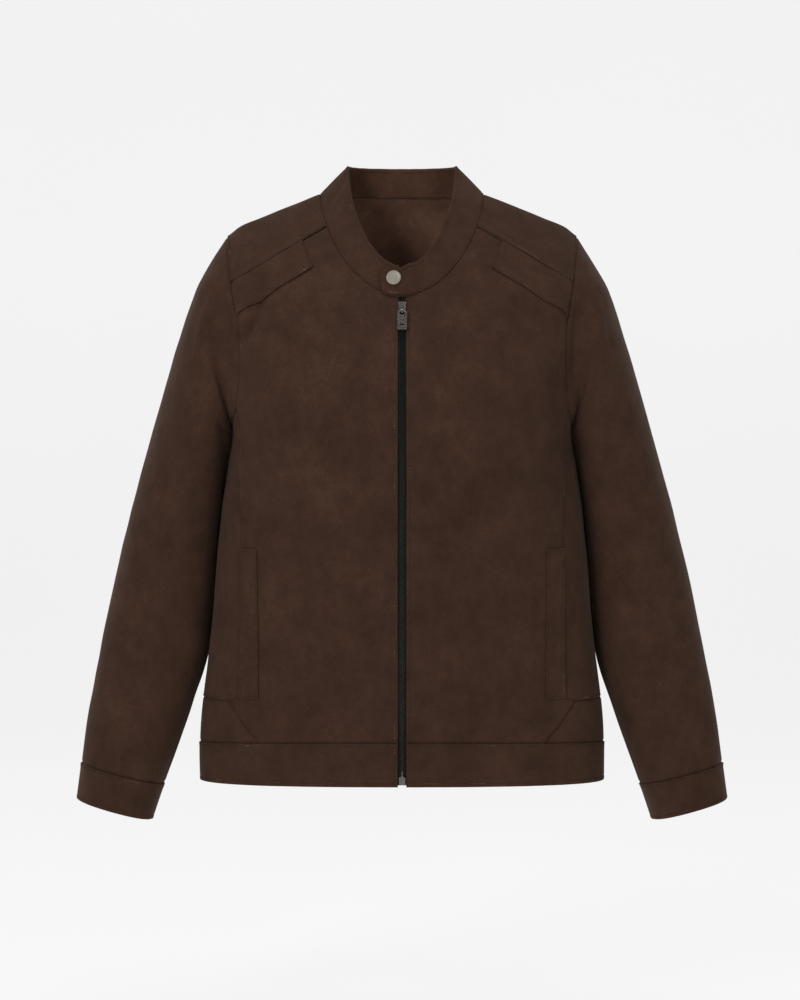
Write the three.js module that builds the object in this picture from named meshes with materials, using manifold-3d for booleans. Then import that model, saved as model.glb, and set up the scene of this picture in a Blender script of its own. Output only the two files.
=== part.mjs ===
// A suede racer jacket, filled out as if worn, with nothing inside it.
// Millimetres, +Z up. The front faces -Y, so the wearer's left is +X.
// The origin is the middle of the neck, level with the points where the collar meets the shoulders.
import * as THREE from "three";
import { mergeVertices } from "three/addons/utils/BufferGeometryUtils.js";
import Module from "manifold-3d";

const wasm = await Module();
wasm.setup();

// Driving sizes
const CLOTH = 2;
const COLLAR_CLOTH = 3;
const BAND_CLOTH = 3;
const BAND_PROUD = 0.6;
const PATCH_CLOTH = 1.5;
const SEAM_GAP = 0.3;
const LAYER_GAP = 0.5;
const ZIP_OPENING = 8;
const CHAIN_WIDTH = 5.8;
const CHAIN_THICKNESS = 1.5;
const CHAIN_SUNK = 0.4;
const TAPE_WIDTH = 14;
const TAPE_THICKNESS = 1;
const COLLAR_RING = { half: 61, front: 90, back: 42, mid: 4, zFront: -88, zSide: 32.5, zBack: 34 };
const COLLAR_DIP = 1.2;
const NECK_DIP = 1.3;
const TAB_CLEARANCE = 0.9;
const TAB_LIFT = COLLAR_CLOTH + TAB_CLEARANCE;
const DEGREE = Math.PI / 180;

// Each row is one ring round the body, from the neck seam down to the hem's edge.
// half: half width; front and back: depth from mid; mid: where the ring's widest point is along Y;
// zFront, zSide and zBack: heights; square: how far the ring bulges at its corners.
const BODY_RINGS = [
  { half: 93, front: 100, back: 50, mid: 5, zFront: -122, zSide: 0, zBack: 3, square: 0 },
  { half: 126, front: 112, back: 72, mid: 5, zFront: -146, zSide: -13, zBack: -16, square: 0.03 },
  { half: 160, front: 121, back: 90, mid: 4, zFront: -172, zSide: -27, zBack: -47, square: 0.06 },
  { half: 189, front: 127, back: 103, mid: 3, zFront: -200, zSide: -41, zBack: -86, square: 0.09 },
  { half: 210, front: 130, back: 111, mid: 2, zFront: -228, zSide: -69, zBack: -130, square: 0.11 },
  { half: 213, front: 131, back: 116, mid: 1, zFront: -256, zSide: -134, zBack: -176, square: 0.12 },
  { half: 204, front: 131, back: 118, mid: 0, zFront: -283, zSide: -202, zBack: -222, square: 0.12 },
  { half: 192, front: 130, back: 118, mid: 0, zFront: -311, zSide: -264, zBack: -268, square: 0.13 },
  { half: 197, front: 127, back: 115, mid: 0, zFront: -341, zSide: -308, zBack: -312, square: 0.13 },
  { half: 203, front: 122, back: 109, mid: 0, zFront: -373, zSide: -350, zBack: -352, square: 0.13 },
  { half: 208, front: 116, back: 103, mid: 0, zFront: -411, zSide: -396, zBack: -398, square: 0.13 },
  { half: 212, front: 110, back: 97, mid: 0, zFront: -453, zSide: -444, zBack: -446, square: 0.13 },
  { half: 216, front: 104, back: 92, mid: 0, zFront: -496, zSide: -492, zBack: -492, square: 0.13 },
  { half: 221, front: 99, back: 88, mid: 0, zFront: -540, zSide: -538, zBack: -538, square: 0.13 },
  { half: 226, front: 94, back: 85, mid: 0, zFront: -578, zSide: -578, zBack: -578, square: 0.13 },
  { half: 228, front: 91, back: 83, mid: 0, zFront: -615, zSide: -620, zBack: -620, square: 0.13 },
  { half: 228, front: 90, back: 82, mid: 0, zFront: -663.5, zSide: -663, zBack: -663, square: 0.13 },
];
const NECK = 0;
const HEM_SEAM = BODY_RINGS.length - 2;
const HEM_EDGE = BODY_RINGS.length - 1;

// Seams of one half of the body, as they look from the front or the back: x from the middle, z up.
const YOKE_SEAM = [
  { x: 84.5, z: -40 },
  { x: 111.5, z: -57 },
  { x: 140, z: -74 },
  { x: 166, z: -90.5 },
  { x: 190, z: -105 },
];
const ARMHOLE_FRONT = [
  { x: 190, z: -105 },
  { x: 182.5, z: -145 },
  { x: 180.5, z: -180 },
  { x: 180.5, z: -216 },
  { x: 184, z: -246 },
];
const ARMHOLE_BACK = [
  { x: 187, z: -246 },
  { x: 186, z: -214 },
  { x: 187, z: -178 },
  { x: 191, z: -142 },
  { x: 199, z: -106 },
];
const SIDE_SEAM = [
  { x: 178, z: -400 },
  { x: 179, z: -356 },
  { x: 183, z: -300 },
  { x: 184, z: -246 },
];
const POCKET_SIDE = [
  { x: 181, z: -567 },
  { x: 179, z: -480 },
  { x: 178, z: -400 },
];
const HIP_SEAM_START = { x: 192, z: -570 };
const HIP_DIAGONAL_FOOT = { x: 157, z: -613 };
const BACK_SIDE_SEAM = [
  { x: 190, z: -570 },
  { x: 186, z: -480 },
  { x: 180, z: -400 },
  { x: 178, z: -320 },
  { x: 187, z: -246 },
];
const BACK_SIDE_FOOT = { x: 191, z: -617 };
const ARMHOLE_TOP = [
  { angle: 78, row: 3.4 },
  { angle: 92, row: 3.35 },
  { angle: 106, row: 3.4 },
];
const ARMHOLE_FOOT = [
  { angle: 78, row: 6.85 },
  { angle: 90, row: 7 },
  { angle: 104, row: 6.85 },
];
const SHOULDER_SEAM_NECK_ANGLE = 118;
const HIP_SEAM_ROW = 13.75;

// Soft troughs pressed into the body, from (x0, z0) to (x1, z1) as seen from their side of the jacket.
const BODY_FOLDS = [
  { face: "front", x0: -150, z0: -122, x1: -168, z1: -176, depth: 4, width: 12 },
  { face: "front", x0: 146, z0: -118, x1: 166, z1: -200, depth: 2.5, width: 12 },
  { face: "front", x0: -100, z0: -600, x1: -20, z1: -545, depth: 3, width: 14 },
  { face: "front", x0: 60, z0: -600, x1: 120, z1: -500, depth: 2.5, width: 16 },
  { face: "front", x0: -30, z0: -160, x1: -40, z1: -420, depth: 2, width: 16 },
  { face: "front", x0: 34, z0: -150, x1: 30, z1: -470, depth: 2, width: 16 },
  { face: "back", x0: -146, z0: -160, x1: -100, z1: -330, depth: 6, width: 15 },
  { face: "back", x0: 148, z0: -168, x1: 106, z1: -345, depth: 6, width: 15 },
  { face: "back", x0: -140, z0: -450, x1: 20, z1: -480, depth: 3.5, width: 16 },
  { face: "back", x0: 150, z0: -500, x1: 30, z1: -530, depth: 3, width: 15 },
  { face: "back", x0: 40, z0: -120, x1: 20, z1: -300, depth: 2.5, width: 20 },
];

// Each row is one ring of a sleeve: the outer and inner end, the middle in Y, the depths to front and back.
const SLEEVE_RINGS = [
  { ox: 211, oz: -70, ix: 192, iz: -264, mid: -3, front: 72, back: 66 },
  { ox: 226, oz: -92, ix: 191, iz: -268, mid: 0, front: 74, back: 68 },
  { ox: 241, oz: -130, ix: 190, iz: -273, mid: 3, front: 75, back: 71 },
  { ox: 257, oz: -180, ix: 191, iz: -283, mid: 7, front: 74, back: 73 },
  { ox: 272.5, oz: -232, ix: 192, iz: -300, mid: 12, front: 72, back: 72 },
  { ox: 288.5, oz: -287, ix: 195, iz: -326, mid: 17, front: 69, back: 70 },
  { ox: 303.5, oz: -342, ix: 201, iz: -366, mid: 20, front: 66, back: 66 },
  { ox: 317.5, oz: -397, ix: 207, iz: -414, mid: 21, front: 62, back: 61 },
  { ox: 330.5, oz: -452, ix: 213, iz: -468, mid: 20, front: 58, back: 57 },
  { ox: 341, oz: -504, ix: 220.5, iz: -524, mid: 16, front: 54, back: 53 },
  { ox: 349.5, oz: -553, ix: 238, iz: -578, mid: 10, front: 50, back: 49 },
  { ox: 357, oz: -600, ix: 254, iz: -625, mid: 3, front: 47, back: 46 },
  { ox: 362, oz: -643, ix: 269, iz: -667, mid: -4, front: 44, back: 43 },
  { ox: 367, oz: -683, ix: 281.5, iz: -707, mid: -10, front: 42, back: 41 },
];
const CUFF_SEAM = SLEEVE_RINGS.length - 2;
const CUFF_EDGE = SLEEVE_RINGS.length - 1;
const SLEEVE_SQUARE = 0.08;
const CUFF_PROUD = 0.5;
// The sleeve is cut in two. Its seams run down from these points of the armhole, counted from the front of
// the armpit up over the shoulder, down the back and forward under the arm.
const SLEEVE_SEAMS = { front: 24, back: 17 };
// Rings of the sleeve's grid lie closer together near the armhole.
const SLEEVE_CROWDING = 1.1;
// The sleeve's head keeps the armhole's shape at ring 0 and loses it by this ring.
const HEAD_REACH = 1.5;
// What the sleeve keeps clear of the body below the armhole, and where that starts.
const SLEEVE_CLEARANCE = 1.5;
const ARMPIT = -240;

// Soft troughs pressed into a sleeve: angle is 0 at the outer end, 90 at the front, 180 at the body.
const SLEEVE_FOLDS = [
  { side: 1, ring0: 0.8, angle0: 70, ring1: 1.4, angle1: 150, depth: 7, width: 16 },
  { side: -1, ring0: 0.8, angle0: 65, ring1: 1.5, angle1: 150, depth: 8, width: 16 },
  { side: 1, ring0: 1.2, angle0: 290, ring1: 2.0, angle1: 215, depth: 6, width: 17 },
  { side: -1, ring0: 1.2, angle0: 292, ring1: 2.2, angle1: 212, depth: 7, width: 17 },
  { side: 1, ring0: 6.2, angle0: 60, ring1: 7.4, angle1: 130, depth: 4, width: 18 },
  { side: 1, ring0: 8.3, angle0: 45, ring1: 8.0, angle1: 120, depth: 4, width: 18 },
  { side: -1, ring0: 6.6, angle0: 65, ring1: 7.6, angle1: 135, depth: 4, width: 18 },
  { side: -1, ring0: 8.7, angle0: 40, ring1: 8.2, angle1: 120, depth: 4, width: 18 },
  { side: 1, ring0: 7.0, angle0: 300, ring1: 7.6, angle1: 225, depth: 4, width: 18 },
  { side: -1, ring0: 7.2, angle0: 305, ring1: 7.9, angle1: 230, depth: 4, width: 18 },
];
const RING_SPACING = 50;
const SLEEVE_RADIUS = 62;

// The collar leans in from the neck seam to COLLAR_RING, and bulges between them.
const COLLAR_BULGE = 0.5;
// The collar's left end runs on as a tab that laps over the right end. Each row is one end of the tab:
// its angle and height in the band at the lower and upper edge, 0 at the neck seam and 1 at the top.
const TAB = {
  end: { lowAngle: -13, low: -0.04, highAngle: -19.5, high: 0.62 },
  root: { lowAngle: 6, low: 0, highAngle: 6, high: 1 },
};
const TAB_FLAT_ANGLE = 16;
const TAB_CELLS = 5;

// The snap's cap, at this height in the band.
const SNAP = { x: -8.8, up: 0.5, radius: 8.2, height: 2.2, edge: 0.7 };

// The slider's own sizes. Its middle is this far below the neck seam, and the pull turns in the arch.
const SLIDER = { below: 16.3, long: 17, wideTop: 10, wideFoot: 7.6, thick: 1.8, corner: 1.6, lift: 0.5 };
const ARCH = { inner: 1.6, outer: 2.9, wide: 2.4, height: 1.7, above: -4.6 };
const PULL = {
  long: 24,
  wide: 11.2,
  thick: 1.6,
  corner: 2.6,
  bar: 1.6,
  windowWide: 4.6,
  windowLong: 4.2,
  slotWide: 5.4,
  slotLong: 1.9,
  slotUp: 6.4,
};
const BOTTOM_STOP = { wide: 7.4, long: 8.5, thick: 2.4, corner: 1, up: 3 };
// How far the teeth stop short of the neck seam and the tapes short of the hem's edge.
const CHAIN_BELOW_NECK = 1;
const TAPE_ABOVE_HEM = 2;

// How many cells each stretch of a seam is divided into. Panels that meet share these points.
const CELLS = {
  across: 8,
  diagonal: 3,
  pocket: 6,
  side: 6,
  armholeFront: 8,
  armholeBack: 6,
  armholeTop: 6,
  backNeck: 12,
  hip: 5,
  step: 1,
  band: 1,
  collarUp: 3,
  sleeve: 20,
  zip: 34,
  round: 24,
};
// The cells of a front that its shoulder patch and its pocket welt lie on, counted from the yoke and the side.
const PATCH_CELLS = { down: 2, firstColumn: 2 };
const WELT_COLUMNS = 1;
const WELT_BIAS = 0.2;

const SUEDE = new THREE.MeshStandardMaterial({ color: 0x3f2c24, roughness: 0.95, metalness: 0 });
const TAPE = new THREE.MeshStandardMaterial({ color: 0x191816, roughness: 0.8, metalness: 0 });
const TEETH = new THREE.MeshStandardMaterial({ color: 0x2c2d28, roughness: 0.4, metalness: 0.8 });
const STEEL = new THREE.MeshStandardMaterial({ color: 0xb5ada3, roughness: 0.35, metalness: 1 });

const lerp = (a, b, t) => a + (b - a) * t;
const clamp = (x, low, high) => Math.min(high, Math.max(low, x));
const smooth = (t) => t * t * (3 - 2 * t);

// One column of a table at a row number that need not be whole, on a smooth curve through the rows.
function along(rows, column, at) {
  const last = rows.length - 1;
  const i = clamp(Math.floor(at), 0, last - 1);
  const t = at - i;
  const value = (k) => rows[clamp(k, 0, last)][column];
  const [a, b, c, d] = [value(i - 1), value(i), value(i + 1), value(i + 2)];
  const slopeB = i === 0 ? c - b : (c - a) / 2;
  const slopeC = i === last - 1 ? c - b : (d - b) / 2;
  const t2 = t * t;
  const t3 = t2 * t;
  return (
    (2 * t3 - 3 * t2 + 1) * b + (t3 - 2 * t2 + t) * slopeB + (3 * t2 - 2 * t3) * c + (t3 - t2) * slopeC
  );
}

// How deep a trough from (x0, z0) to (x1, z1) is at (x, z), full along its middle, fading outwards.
function trough(x, z, fold) {
  const dx = fold.x1 - fold.x0;
  const dz = fold.z1 - fold.z0;
  const t = clamp(((x - fold.x0) * dx + (z - fold.z0) * dz) / (dx * dx + dz * dz), 0, 1);
  const away = Math.hypot(x - fold.x0 - t * dx, z - fold.z0 - t * dz) / fold.width;
  const ends = 0.35 + 0.65 * Math.sin(Math.PI * t);
  return fold.depth * ends * Math.exp(-away * away);
}

// A point of a ring: angle 0 is the middle of the front, a quarter turn is the wearer's left side.
function ringPoint(ring, angle, dip) {
  const s = Math.sin(angle);
  const c = Math.cos(angle);
  const depth = c > 0 ? ring.front : ring.back;
  const end = c > 0 ? ring.zFront : ring.zBack;
  const square = ring.square ?? 0;
  return new THREE.Vector3(
    ring.half * s * (1 + square * c * c),
    ring.mid - depth * c * (1 + square * s * s),
    ring.zSide + (end - ring.zSide) * Math.pow(Math.abs(c), dip),
  );
}

function bodyRing(row) {
  const ring = {};
  for (const column of Object.keys(BODY_RINGS[0])) ring[column] = along(BODY_RINGS, column, row);
  return ring;
}

const smoothBody = (angle, row) => ringPoint(bodyRing(row), angle, NECK_DIP);

// The outward normal of a surface(a, b) whose a runs round and b runs down, by small steps.
function normalOf(surface, a, b, stepA, stepB) {
  const alongA = surface(a + stepA, b).sub(surface(a - stepA, b));
  const alongB = surface(a, b + stepB).sub(surface(a, b - stepB));
  return alongB.cross(alongA).normalize();
}

const ANGLE_STEP = 0.004;
const ROW_STEP = 0.01;

// The body's outer surface with its folds. Row steps stop at the neck and the hem.
function body(angle, row) {
  const p = smoothBody(angle, row);
  const face = Math.cos(angle) > 0 ? "front" : "back";
  const depth = BODY_FOLDS.filter((fold) => fold.face === face).reduce(
    (sum, fold) => sum + trough(p.x, p.z, fold),
    0,
  );
  const fade = smooth(clamp(Math.abs(Math.cos(angle)) * 4, 0, 1));
  const normal = normalOf(smoothBody, angle, clamp(row, ROW_STEP, HEM_EDGE - ROW_STEP), ANGLE_STEP, ROW_STEP);
  return p.addScaledVector(normal, -depth * fade);
}

function bodyPoint(angle, row) {
  const normal = normalOf(body, angle, clamp(row, ROW_STEP, HEM_EDGE - ROW_STEP), ANGLE_STEP, ROW_STEP);
  return { p: body(angle, row), n: normal };
}

// The angle and row of the body's surface at (x, z), seen from the front or from the back.
function locate({ x, z }, fromBack = false) {
  let best = { miss: Infinity };
  for (let a = 0; a <= 90; a += 6)
    for (let row = 0; row <= HEM_EDGE; row += 0.5) {
      const angle = (fromBack ? 180 - a : a) * DEGREE;
      const p = smoothBody(angle, row);
      const miss = Math.hypot(p.x - x, p.z - z);
      if (miss < best.miss) best = { miss, angle, row };
    }
  let { angle, row } = best;
  for (let n = 0; n < 30; n++) {
    const p = smoothBody(angle, row);
    const pa = smoothBody(angle + ANGLE_STEP, row).sub(p).divideScalar(ANGLE_STEP);
    const pr = smoothBody(angle, row + ROW_STEP).sub(p).divideScalar(ROW_STEP);
    const det = pa.x * pr.z - pr.x * pa.z;
    const [mx, mz] = [x - p.x, z - p.z];
    angle += clamp((mx * pr.z - mz * pr.x) / det, -0.1, 0.1);
    row += clamp((mz * pa.x - mx * pa.z) / det, -0.5, 0.5);
  }
  return { a: angle, r: row };
}

const SIDES = [
  ["left", 1],
  ["right", -1],
];
const turned = (places) => [...places].reverse();
const mirrored = ({ a, r }) => ({ a: 2 * Math.PI - a, r });
const mix = (p, q, t) => ({ a: lerp(p.a, q.a, t), r: lerp(p.r, q.r, t) });

// A smooth curve through places on the body, divided into equal parts of its course.
function course(places, cells) {
  const rows = Array.from({ length: cells + 1 }, (_, i) => ((places.length - 1) * i) / cells);
  if (places.length === 2) return rows.map((t) => mix(places[0], places[1], t));
  return rows.map((t) => ({ a: along(places, "a", t), r: along(places, "r", t) }));
}

const seam = (points, cells, fromBack = false) =>
  course(points.map((point) => locate(point, fromBack)), cells);

// Joins stretches that follow each other, each starting where the one before ends.
const chain = (...stretches) => stretches.flatMap((s, i) => (i ? s.slice(1) : s));

// Places between four edges: left and right run up, bottom and top run across.
function patch(left, right, bottom, top) {
  const rows = left.length - 1;
  const columns = bottom.length - 1;
  return left.map((l, j) =>
    bottom.map((b, i) => {
      const s = i / columns;
      const t = j / rows;
      const at = (key) =>
        lerp(l[key], right[j][key], s) +
        lerp(b[key], top[i][key], t) -
        lerp(lerp(bottom[0][key], bottom[columns][key], s), lerp(top[0][key], top[columns][key], s), t);
      return { a: at("a"), r: at("r") };
    }),
  );
}

// Draws the edges of a grid of points in by half a seam's gap, so that neighbours stay apart.
// The grid's rows run up and its columns run to the left as seen from outside.
function drawnIn(grid, edges = { bottom: true, top: true, start: true, end: true }) {
  const [rows, columns] = [grid.length, grid[0].length];
  const step = (j, i, dj, di) => {
    const at = (sign) => grid[clamp(j + sign * dj, 0, rows - 1)][clamp(i + sign * di, 0, columns - 1)].p;
    return at(1).clone().sub(at(-1)).normalize();
  };
  return grid.map((row, j) =>
    row.map(({ p, n }, i) => {
      const moved = p.clone();
      const up = step(j, i, 1, 0);
      const over = step(j, i, 0, 1);
      const inward = (tangent, towards) => {
        const d = new THREE.Vector3().crossVectors(n, tangent).normalize();
        return d.multiplyScalar(Math.sign(d.dot(towards)) * (SEAM_GAP / 2));
      };
      if (edges.bottom && j === 0) moved.add(inward(over, up));
      if (edges.top && j === rows - 1) moved.add(inward(over, up.clone().negate()));
      if (edges.start && i === 0) moved.add(inward(up, over));
      if (edges.end && i === columns - 1) moved.add(inward(up, over.clone().negate()));
      return { p: moved, n };
    }),
  );
}

// A closed wall from a grid of outer points and normals. Round grids join their last column to their first.
function wall(grid, thickness, { round = false, lift = 0 } = {}) {
  const rows = grid.length;
  const columns = grid[0].length;
  const positions = [];
  for (const depth of [lift, lift - thickness])
    for (const row of grid)
      for (const { p, n } of row) positions.push(...p.clone().addScaledVector(n, depth).toArray());
  const inner = rows * columns;
  const at = (j, i, side) => side * inner + j * columns + (i % columns);
  const index = [];
  const quad = (a, b, c, d) => index.push(a, b, c, a, c, d);
  const cells = round ? columns : columns - 1;
  for (let j = 0; j < rows - 1; j++)
    for (let i = 0; i < cells; i++) {
      quad(at(j, i, 0), at(j, i + 1, 0), at(j + 1, i + 1, 0), at(j + 1, i, 0));
      quad(at(j, i, 1), at(j + 1, i, 1), at(j + 1, i + 1, 1), at(j, i + 1, 1));
    }
  for (let i = 0; i < cells; i++) {
    quad(at(0, i, 0), at(0, i, 1), at(0, i + 1, 1), at(0, i + 1, 0));
    const j = rows - 1;
    quad(at(j, i, 0), at(j, i + 1, 0), at(j, i + 1, 1), at(j, i, 1));
  }
  if (!round)
    for (let j = 0; j < rows - 1; j++) {
      quad(at(j, 0, 0), at(j + 1, 0, 0), at(j + 1, 0, 1), at(j, 0, 1));
      const i = columns - 1;
      quad(at(j, i, 0), at(j, i, 1), at(j + 1, i, 1), at(j + 1, i, 0));
    }
  const geometry = new THREE.BufferGeometry();
  geometry.setAttribute("position", new THREE.Float32BufferAttribute(positions, 3));
  geometry.setIndex(index);
  return facingOut(geometry);
}

// Turns a closed geometry's faces round if they point in.
function facingOut(geometry) {
  const position = geometry.getAttribute("position");
  const index = geometry.index.array;
  const [a, b, c] = [new THREE.Vector3(), new THREE.Vector3(), new THREE.Vector3()];
  let volume = 0;
  for (let i = 0; i < index.length; i += 3) {
    a.fromBufferAttribute(position, index[i]);
    b.fromBufferAttribute(position, index[i + 1]);
    c.fromBufferAttribute(position, index[i + 2]);
    volume += a.dot(b.cross(c));
  }
  if (volume < 0)
    for (let i = 0; i < index.length; i += 3) [index[i], index[i + 1]] = [index[i + 1], index[i]];
  return geometry;
}

const jacket = new THREE.Group();

function add(name, geometry, material) {
  const mesh = new THREE.Mesh(geometry, material);
  mesh.name = name;
  jacket.add(mesh);
  return mesh;
}

// Places on one side of the body: side 1 is the wearer's left.
const onSide = (places, side) =>
  places.map((row) => row.map(({ a, r }) => bodyPoint(a * side, r)));

// The same points on this side of the middle.
const reflected = (v, side) => new THREE.Vector3(v.x * side, v.y, v.z);
const toSide = (grid, side) =>
  grid.map((row) => row.map(({ p, n }) => ({ p: reflected(p, side), n: reflected(n, side) })));

const closedEdge = (row) => ({ a: Math.asin(ZIP_OPENING / 2 / bodyRing(row).half), r: row });
const bodyPlace = (degrees, row) => ({ a: degrees * DEGREE, r: row });

// A straight course whose cells grow wider towards its end, so that the pocket welt gets its width.
const widerLast = (from, to, cells) =>
  Array.from({ length: cells + 1 }, (_, i) => {
    const t = i / cells;
    return mix(from, to, t - WELT_BIAS * Math.sin(Math.PI * t));
  });

// The front's edge at the zip between two rows.
const closingStretch = (from, to, cells) =>
  course([closedEdge(from), closedEdge(to)], cells).map(({ r }) => closedEdge(r));

// The row of the front's edge at the zip that is level with a place on the body.
const levelAtZip = ({ a, r }) => locate({ x: ZIP_OPENING / 2, z: smoothBody(a, r).z }).r;

// Seams shared by the panels of one side, each running up or away from the front's middle.
function seams() {
  const yoke = seam(YOKE_SEAM, CELLS.across);
  yoke[0].r = NECK;
  const neckFront = course([closedEdge(NECK), yoke[0]], CELLS.armholeFront);
  const neckShoulder = course([yoke[0], bodyPlace(SHOULDER_SEAM_NECK_ANGLE, NECK)], CELLS.armholeTop);
  const armholeFront = seam(turned(ARMHOLE_FRONT), CELLS.armholeFront);
  const armholeBack = seam(ARMHOLE_BACK, CELLS.armholeBack, true);
  const armholeTop = course(
    [armholeFront.at(-1), ...ARMHOLE_TOP.map(({ angle, row }) => bodyPlace(angle, row)), armholeBack.at(-1)],
    CELLS.armholeTop,
  );
  const armholeFoot = course(
    [armholeFront[0], ...ARMHOLE_FOOT.map(({ angle, row }) => bodyPlace(angle, row)), armholeBack[0]],
    CELLS.hip + CELLS.step,
  );
  const shoulder = course([neckShoulder.at(-1), armholeBack.at(-1)], CELLS.across);
  const diagonalFoot = { a: locate(HIP_DIAGONAL_FOOT).a, r: HEM_SEAM };
  const diagonal = course([diagonalFoot, locate(HIP_SEAM_START)], CELLS.diagonal);
  const pocketSide = seam(POCKET_SIDE, CELLS.pocket);
  const step = course([diagonal.at(-1), pocketSide[0]], CELLS.step);
  const sideSeam = seam(SIDE_SEAM, CELLS.side);
  sideSeam[CELLS.side] = armholeFront[0];
  const backSide = seam(BACK_SIDE_SEAM, CELLS.pocket + CELLS.side, true);
  backSide[CELLS.pocket + CELLS.side] = armholeBack[0];
  const backFoot = { a: locate(BACK_SIDE_FOOT, true).a, r: HEM_SEAM };
  const hipBack = course([backFoot, backSide[0]], CELLS.diagonal);
  const hipTop = course([diagonal.at(-1), bodyPlace(90, HIP_SEAM_ROW), backSide[0]], CELLS.hip);
  const levels = [HEM_SEAM, ...[diagonal, step, pocketSide].map((stretch) => levelAtZip(stretch.at(-1))), NECK];
  const closingCells = [CELLS.diagonal, CELLS.step, CELLS.pocket, CELLS.side];
  const closing = chain(...closingCells.map((cells, i) => closingStretch(levels[i], levels[i + 1], cells)));
  const hemFront = widerLast(closedEdge(HEM_SEAM), diagonalFoot, CELLS.across);
  const hemHip = course([diagonalFoot, backFoot], CELLS.hip);
  return {
    yoke, neckFront, neckShoulder, armholeFront, armholeBack, armholeTop, armholeFoot, shoulder,
    diagonal, step, pocketSide, sideSeam, backSide, hipBack, hipTop, closing, hemFront, hemHip,
  };
}

const S = seams();

const PANELS = {
  front: patch(
    chain(S.closing, S.neckFront),
    chain(S.diagonal, S.step, S.pocketSide, S.sideSeam, S.armholeFront),
    S.hemFront,
    S.yoke,
  ),
  side: patch(
    chain(S.pocketSide, S.sideSeam),
    S.backSide,
    chain(turned(S.step), S.hipTop),
    S.armholeFoot,
  ),
  hip: patch(S.diagonal, S.hipBack, S.hemHip, S.hipTop),
  yoke: patch(S.neckShoulder, S.armholeTop, S.yoke, S.shoulder),
};

function backPlaces() {
  const left = chain(S.hipBack, S.backSide, S.armholeBack, turned(S.shoulder));
  const across = (place) => course([place, mirrored(place)], CELLS.backNeck);
  return patch(left, left.map(mirrored), across(left[0]), across(left.at(-1)));
}

const BACK_PLACES = backPlaces();

for (const [word, side] of SIDES) {
  const front = onSide(PANELS.front, side);
  for (const [name, places] of Object.entries(PANELS))
    add(`${name}_${word}`, wall(drawnIn(onSide(places, side)), CLOTH), SUEDE);
  const top = front.length - 1;
  const patchCells = front.slice(top - PATCH_CELLS.down).map((row) => row.slice(PATCH_CELLS.firstColumn));
  const lift = LAYER_GAP + PATCH_CLOTH;
  add(`shoulder_patch_${word}`, wall(drawnIn(patchCells), PATCH_CLOTH, { lift }), SUEDE);
  const mouth = CELLS.diagonal + CELLS.step;
  const weltCells = front
    .slice(mouth, mouth + CELLS.pocket + 1)
    .map((row) => row.slice(CELLS.across - WELT_COLUMNS));
  add(`pocket_welt_${word}`, wall(drawnIn(weltCells), PATCH_CLOTH, { lift }), SUEDE);
}
add("back", wall(drawnIn(onSide(BACK_PLACES, 1)), CLOTH), SUEDE);

// The hem band runs from one side of the zip round to the other, with the panels' own columns.
function buildHem() {
  const oneSide = chain(S.hemFront, S.hemHip);
  const columns = chain(oneSide, BACK_PLACES[0], turned(oneSide).map(mirrored));
  const rows = Array.from({ length: CELLS.band + 1 }, (_, j) => lerp(HEM_EDGE, HEM_SEAM, j / CELLS.band));
  const grid = rows.map((r) =>
    columns.map(({ a }, i) => {
      const isEnd = i === 0 || i === columns.length - 1;
      const edge = i === 0 ? closedEdge(r).a : 2 * Math.PI - closedEdge(r).a;
      return bodyPoint(isEnd ? edge : a, r);
    }),
  );
  add("hem_band", wall(drawnIn(grid), BAND_CLOTH, { lift: BAND_PROUD }), SUEDE);
}

buildHem();

// A point of the collar's outer surface: height is 0 at the neck seam and 1 at the top edge.
function collar(angle, height) {
  const low = ringPoint(BODY_RINGS[NECK], angle, NECK_DIP);
  const high = ringPoint(COLLAR_RING, angle, COLLAR_DIP);
  const p = low.clone().lerp(high, height);
  const outward = new THREE.Vector3(p.x, p.y - COLLAR_RING.mid, 0).normalize();
  return p.addScaledVector(outward, COLLAR_BULGE * 4 * height * (1 - height));
}

function collarPoint(angle, height) {
  const n = normalOf((a, h) => collar(a, -h), angle, -height, ANGLE_STEP, ROW_STEP);
  return { p: collar(angle, height), n };
}

function buildCollar() {
  const front = S.neckFront.slice(1);
  const oneSide = chain(front, S.neckShoulder);
  const end = mirrored(closedEdge(NECK));
  const places = chain(oneSide, BACK_PLACES.at(-1), turned(oneSide).map(mirrored), [end, end]);
  const angles = places.map(({ a }) => a);
  const flat = TAB_FLAT_ANGLE * DEGREE;
  const root = TAB.root.lowAngle * DEGREE;
  const rows = Array.from({ length: CELLS.collarUp + 1 }, (_, j) => j / CELLS.collarUp);
  const grid = rows.map((up) => {
    const lapped = Array.from({ length: TAB_CELLS + 1 }, (_, i) => {
      const t = i / TAB_CELLS;
      const at = (key) => lerp(TAB.end[key], TAB.root[key], t);
      const angle = lerp(at("lowAngle"), at("highAngle"), up) * DEGREE;
      return { angle, height: lerp(at("low"), at("high"), up) };
    });
    const rest = angles.filter((a) => a > root + ANGLE_STEP).map((angle) => ({ angle, height: up }));
    return [...lapped, ...rest].map(({ angle, height }) => {
      const { p, n } = collarPoint(angle, height);
      const lift = TAB_LIFT * smooth(clamp((flat - angle) / (flat - root), 0, 1));
      return { p: p.addScaledVector(n, lift), n };
    });
  });
  add("collar", wall(drawnIn(grid), COLLAR_CLOTH), SUEDE);
}

buildCollar();

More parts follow.
